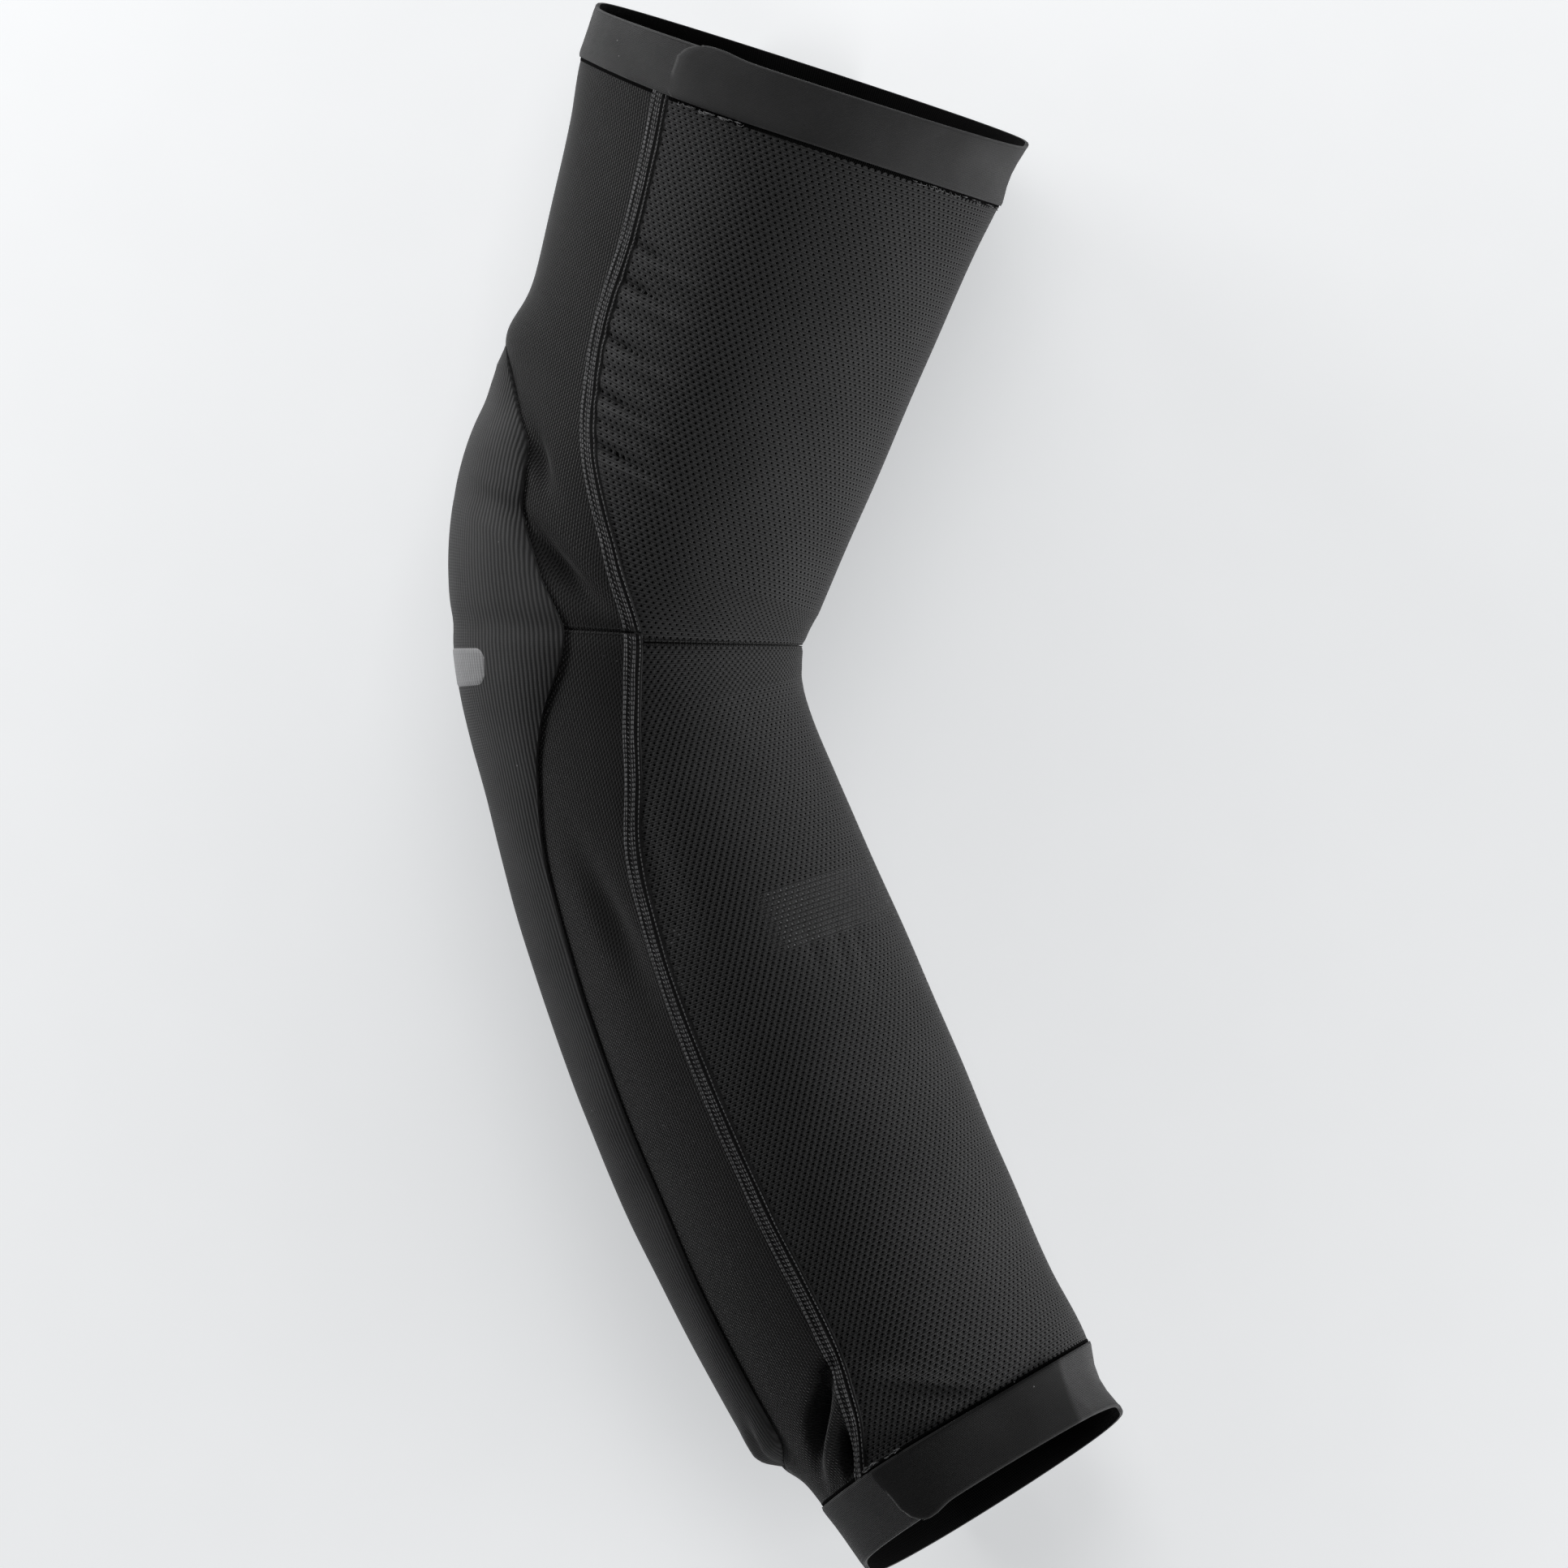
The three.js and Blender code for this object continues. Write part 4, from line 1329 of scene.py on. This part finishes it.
# %% [markdown]
# ## The pad
# The guard is a row of foam blocks under one piece of ribbed stretch cloth: a small upper lobe, a wide lobe
# over the point of the elbow and a long narrow stretch down the forearm. The cloth is sewn down all round,
# so it bulges like a cushion and its edge is a sharp dark line. Between the first two lobes the cover is
# drawn in at its waist, with a crease and small wrinkles.

# %% Outline and height of the pad
pad_top = -59.0
pad_bottom = forearm_length - 31.0
pinch_at = -19.0
pinch_depth = 1.54
wrinkle_depth = 0.28
cover_edge = 1.2
pad_outline = [
    (-50, 13, 4.5), (-44, 20, 5.4), (-38, 25.7, 6.3), (-28, 28.6, 7.0), (-20, 29.3, 7.3), (-12, 36.0, 6.8),
    (-2, 41.8, 6.5), (6, 40.0, 6.3), (18, 30.5, 5.8), (29, 25.3, 5.6), (50, 19.5, 5.7), (90, 17.5, 5.8),
    (130, 16.8, 5.8), (170, 16.0, 5.3), (188, 15.0, 5.6), (195, 13.0, 5.9), (198, 10.0, 4.8),
]
pad_shape = through([(pad_top, 3, cover_edge), *pad_outline, (pad_bottom, 3.5, cover_edge)])


def crown(u):
    """Height of a sewn-down cushion across its width, from -1 to 1."""
    return (1 - np.minimum(np.abs(u), 1) ** 2.6) ** 0.75


def pad_angle(along, u):
    return 180 - u * degrees_for(pad_shape(along), along)


def edge_height(along):
    """Height of the sewn edge. It runs out to nothing at both tips of the pad."""
    return cover_edge * np.clip(np.minimum(along - pad_top, pad_bottom - along) / 5, 0.1, 1)


def cover_height(along, u):
    """Height of the cover's outer face, with the waist between its first two lobes."""
    off = along - (pinch_at - 7 * (1 - np.abs(u)) ** 1.3)
    pinch = pinch_depth * np.exp(-((off / 2.6) ** 2)) * np.abs(u) ** 0.9
    wrinkles = wrinkle_depth * np.cos(off * 2 * np.pi / 4.6) * np.exp(-((off / 8) ** 2))
    pinch = pinch - 1.2 * wrinkles * np.clip(np.abs(u) - 0.25, 0, 1)
    rise = np.maximum(pad_shape(along, 1) - pinch - cover_edge, 0)
    return edge_height(along) + rise * crown(u)


pad_widths = 2 * pad_shape(np.array([-30.0, 0.0, 100.0]))
print("pad is", pad_widths.round(0), "mm wide at its lobes and along the forearm")

# %% [markdown]
# The cover is blown up a little by a short cloth simulation: its edge is pinned, and a soft pressure from
# the foam lifts it between the folds. The simulation runs on a coarse grid, its movement is capped and
# smoothed, and a fine grid then takes that movement over, so the ribs stay sharp.

# %% Swelling the cover
sim_rows, sim_columns = 100, 25
sim_along = np.linspace(pad_top, pad_bottom, sim_rows)
sim_u = np.sin(np.linspace(-1, 1, sim_columns) * np.pi / 2)
sim_frames = 20
most_swell = 0.7
smooth_passes = 6


def blown_up(start):
    """Where the points of the coarse cover end up, in millimetres."""
    trial = new_piece("trial_cover", start, grid_faces(sim_rows, sim_columns), [])
    pieces.pop("trial_cover")
    number = np.arange(sim_rows * sim_columns).reshape(sim_rows, sim_columns)
    border = np.setdiff1d(number, number[1:-1, 1:-1])
    trial.vertex_groups.new(name="sewn").add(border.tolist(), 1.0, "REPLACE")
    cloth = trial.modifiers.new("Cloth", "CLOTH")
    cloth.settings.vertex_group_mass = "sewn"
    cloth.settings.use_pressure = True
    cloth.settings.uniform_pressure_force = 4
    cloth.settings.tension_stiffness = 20
    cloth.settings.shrink_min = -0.01
    cloth.settings.effector_weights.gravity = 0
    cloth.point_cache.frame_start, cloth.point_cache.frame_end = 1, sim_frames
    for step in range(1, sim_frames + 1):
        bpy.context.scene.frame_set(step)
    shaped = trial.evaluated_get(bpy.context.evaluated_depsgraph_get())
    moved = np.zeros(start.size)
    shaped.data.vertices.foreach_get("co", moved)
    bpy.context.scene.frame_set(1)
    bpy.data.objects.remove(trial)
    return 1000 * moved.reshape(start.shape)


def swell():
    """How far each point of the coarse cover moves, in millimetres."""
    along, u = np.meshgrid(sim_along, sim_u, indexing="ij")
    start = place(along, pad_angle(along, u), cover_height(along, u) - 0.4)
    move = blown_up(start) - start
    size = np.linalg.norm(move, axis=-1, keepdims=True)
    move = move * np.minimum(1, most_swell / np.maximum(size, 1e-9))
    for _ in range(smooth_passes):
        move[1:-1] = (move[:-2] + 2 * move[1:-1] + move[2:]) / 4
        move[:, 1:-1] = (move[:, :-2] + 2 * move[:, 1:-1] + move[:, 2:]) / 4
    return move


swelling = swell()
print("cover swells by up to", round(float(np.linalg.norm(swelling, axis=-1).max()), 2), "mm")

# %% Cover
rib_width = 26.0
cover_rows, cover_columns = 260, 97
tucked_shares = np.array([0.93, 0.975, 1.0])[None, :]
tucked_heights = np.array([0.3, 0.3, 0.42])[None, :]


def swell_at(along, u):
    """The coarse cover's movement, read at any place of the cover."""
    along, u = np.broadcast_arrays(along, u)
    row = np.interp(along, sim_along, np.arange(sim_rows))
    column = np.interp(u, sim_u, np.arange(sim_columns))
    j = np.clip(row.astype(int), 0, sim_rows - 2)
    i = np.clip(column.astype(int), 0, sim_columns - 2)
    s, t = (row - j)[..., None], (column - i)[..., None]
    low = swelling[j, i] * (1 - t) + swelling[j, i + 1] * t
    high = swelling[j + 1, i] * (1 - t) + swelling[j + 1, i + 1] * t
    return low * (1 - s) + high * s


def rib_place(along, u):
    """Distance across the ribs: half way between straight ribs and ribs that follow the lobes."""
    width = 0.55 * pad_shape(along) + 0.45 * rib_width
    squeeze = 1.1 * np.exp(-(((along - pinch_at) / 4) ** 2)) * np.clip(np.abs(u) - 0.2, 0, 1)
    return u * width + np.sign(u) * squeeze


def pad_cover():
    """The cover with its sewn edge, which turns in under it on both sides."""
    along = np.linspace(pad_top, pad_bottom, cover_rows)[:, None]
    u = np.sin(np.linspace(-1, 1, cover_columns) * np.pi / 2)[None, :]
    outer = place(along, pad_angle(along, u), cover_height(along, u)) + swell_at(along, u)
    lows = edge_height(along) * tucked_heights
    left = place(along, pad_angle(along, -tucked_shares), lows)
    right = place(along, pad_angle(along, tucked_shares[:, ::-1]), lows[:, ::-1])
    points = np.concatenate([left, outer, right], 1)
    all_u = np.concatenate([-tucked_shares, u, tucked_shares[:, ::-1]], 1)
    faces = grid_faces(*points.shape[:2])
    uv = flat_map(rib_place(along, all_u), along)
    areas["pad_cover"] = band_area(along[:, 0], 2 * pad_shape(along[:, 0]))
    return new_piece("pad_cover", points, faces, [cloths["ribbed"]], uv)


pad_cover()
print("cover flat area", round(areas["pad_cover"], 4), "square metres")

# %% [markdown]
# ## Foam and lining
# Under the cover lie three foam blocks with rounded edges, so that the pad can bend between them, and a
# thin lining keeps them off the sleeve. They never show, but they are what the pad is made of, and they
# are built to fit: the foam follows the underside of the cover.

# %% Foam blocks and lining
liner_top = 1.2
foam_top = -47.0
foam_split = 18.0
foam_end = pad_bottom - 8
foam_share = 0.83
foam_gap = 0.55
foam_joint = 0.4
foam_columns = 33
cover_cloth = 0.8
liner_share = 0.84
liner_rows, liner_columns = 110, 31


def pad_block(name, first, last):
    rows = max(int((last - first) / 2), 8)
    share = np.linspace(-1, 1, rows)[:, None]
    u = np.linspace(-1, 1, foam_columns)[None, :]
    along = first + (last - first) * (share + 1) / 2
    bottom = liner_top + foam_gap
    soft = ((1 - np.abs(u) ** 8) * (1 - np.abs(share) ** (0.4 * rows + 6))) ** 0.4
    full = np.maximum(cover_height(along, foam_share * u) - cover_cloth - foam_gap - bottom, 0.3)
    angle = pad_angle(along, foam_share * u)
    upper, lower = place(along, angle, bottom + full * soft), place(along, angle, bottom)
    faces = grid_faces(rows, foam_columns)
    both = np.concatenate([faces, faces[:, ::-1] + rows * foam_columns])
    piece = new_piece(name, np.concatenate([upper, lower]), both, [cloths["foam"]])
    piece.modifiers.new("Weld", "WELD").merge_threshold = 0.00001
    return piece


def pad_liner():
    along = np.linspace(pad_top + 9, pad_bottom - 7, liner_rows)[:, None]
    u = np.linspace(-liner_share, liner_share, liner_columns)[None, :]
    points = place(along, pad_angle(along, u), liner_top - 0.2)
    areas["pad_liner"] = band_area(along[:, 0], 2 * liner_share * pad_shape(along[:, 0]))
    uv = flat_map(u * pad_shape(along), along)
    return new_piece("pad_liner", points, grid_faces(liner_rows, liner_columns), [cloths["lining"]], uv)


pad_block("upper_foam", foam_top, pinch_at - foam_joint)
pad_block("elbow_foam", pinch_at + foam_joint, foam_split - foam_joint)
pad_block("forearm_foam", foam_split + foam_joint, foam_end)
pad_liner()
print("foam blocks from", foam_top, "to", round(foam_end), "mm")

# %% [markdown]
# ## A plain reflective bar
# A short bar of reflective print lies across the cover just below the point of the elbow. It is a thin
# plate with rounded corners that follows the cover.

# %% Reflective bar
bar_at = 3.0
bar_height = 6.0
bar_half = 0.5
bar_corner = 0.07
bar_rows, bar_columns = 17, 65


def reflective_bar():
    share = np.linspace(-1, 1, bar_rows)[:, None]
    u = bar_half * np.linspace(-1, 1, bar_columns)[None, :]
    corner = np.clip((np.abs(u) - bar_half + bar_corner) / bar_corner, 0, 1)
    along = bar_at + bar_height / 2 * (1 + share * np.sqrt(1 - 0.75 * corner**2))
    edge = 1 - np.maximum(np.abs(share), np.abs(u) / bar_half) ** 20
    height = cover_height(along, u) + 0.02 + 0.2 * edge
    points = place(along, pad_angle(along, u), height) + swell_at(along, u)
    uv = flat_map(rib_place(along, u), along)
    faces = grid_faces(bar_rows, bar_columns)
    return new_piece("reflective_bar", points, faces, [cloths["reflective"]], uv)


reflective_bar()
print("bar is", bar_height, "mm high")

# %% [markdown]
# ## Which piece stands for which
# Every piece takes the place of the imported solid with its own name. The cuffs keep their shape and ride
# on the upper arm or the forearm. All the rest crosses or comes near the elbow and is fixed in place as it
# lies. The ends of a 150 mm stretch round the elbow are worked out, but nothing uses them.

# %% Replace the imported parts and name the pieces
blend_reach = 75.0
blend_start, blend_end = (
    [*(origin + arm_line(at)) / 1000, hinge[2] / 1000] for at in (-blend_reach, blend_reach)
)
riders = {
    arm + part: body
    for arm, body in (("upper", "upper_sleeve"), ("lower", "forearm_sleeve"))
    for part in ("_cuff", "_cuff_elastic", "_cuff_seam")
}
for name, piece in pieces.items():
    for modifier in list(piece.modifiers):
        with bpy.context.temp_override(object=piece):
            bpy.ops.object.modifier_apply(modifier=modifier.name)
    piece.name = name + "_cloth"
    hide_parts(name)
    if name in riders:
        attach(piece, riders[name])
    else:
        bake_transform(piece)
print("replaced", len(pieces), "nodes,", len(pieces) - len(riders), "of them bend")


for arm, end in ends:
    name = arm + "_cuff"
print("flat areas in square metres:", {name: round(area, 4) for name, area in areas.items()})
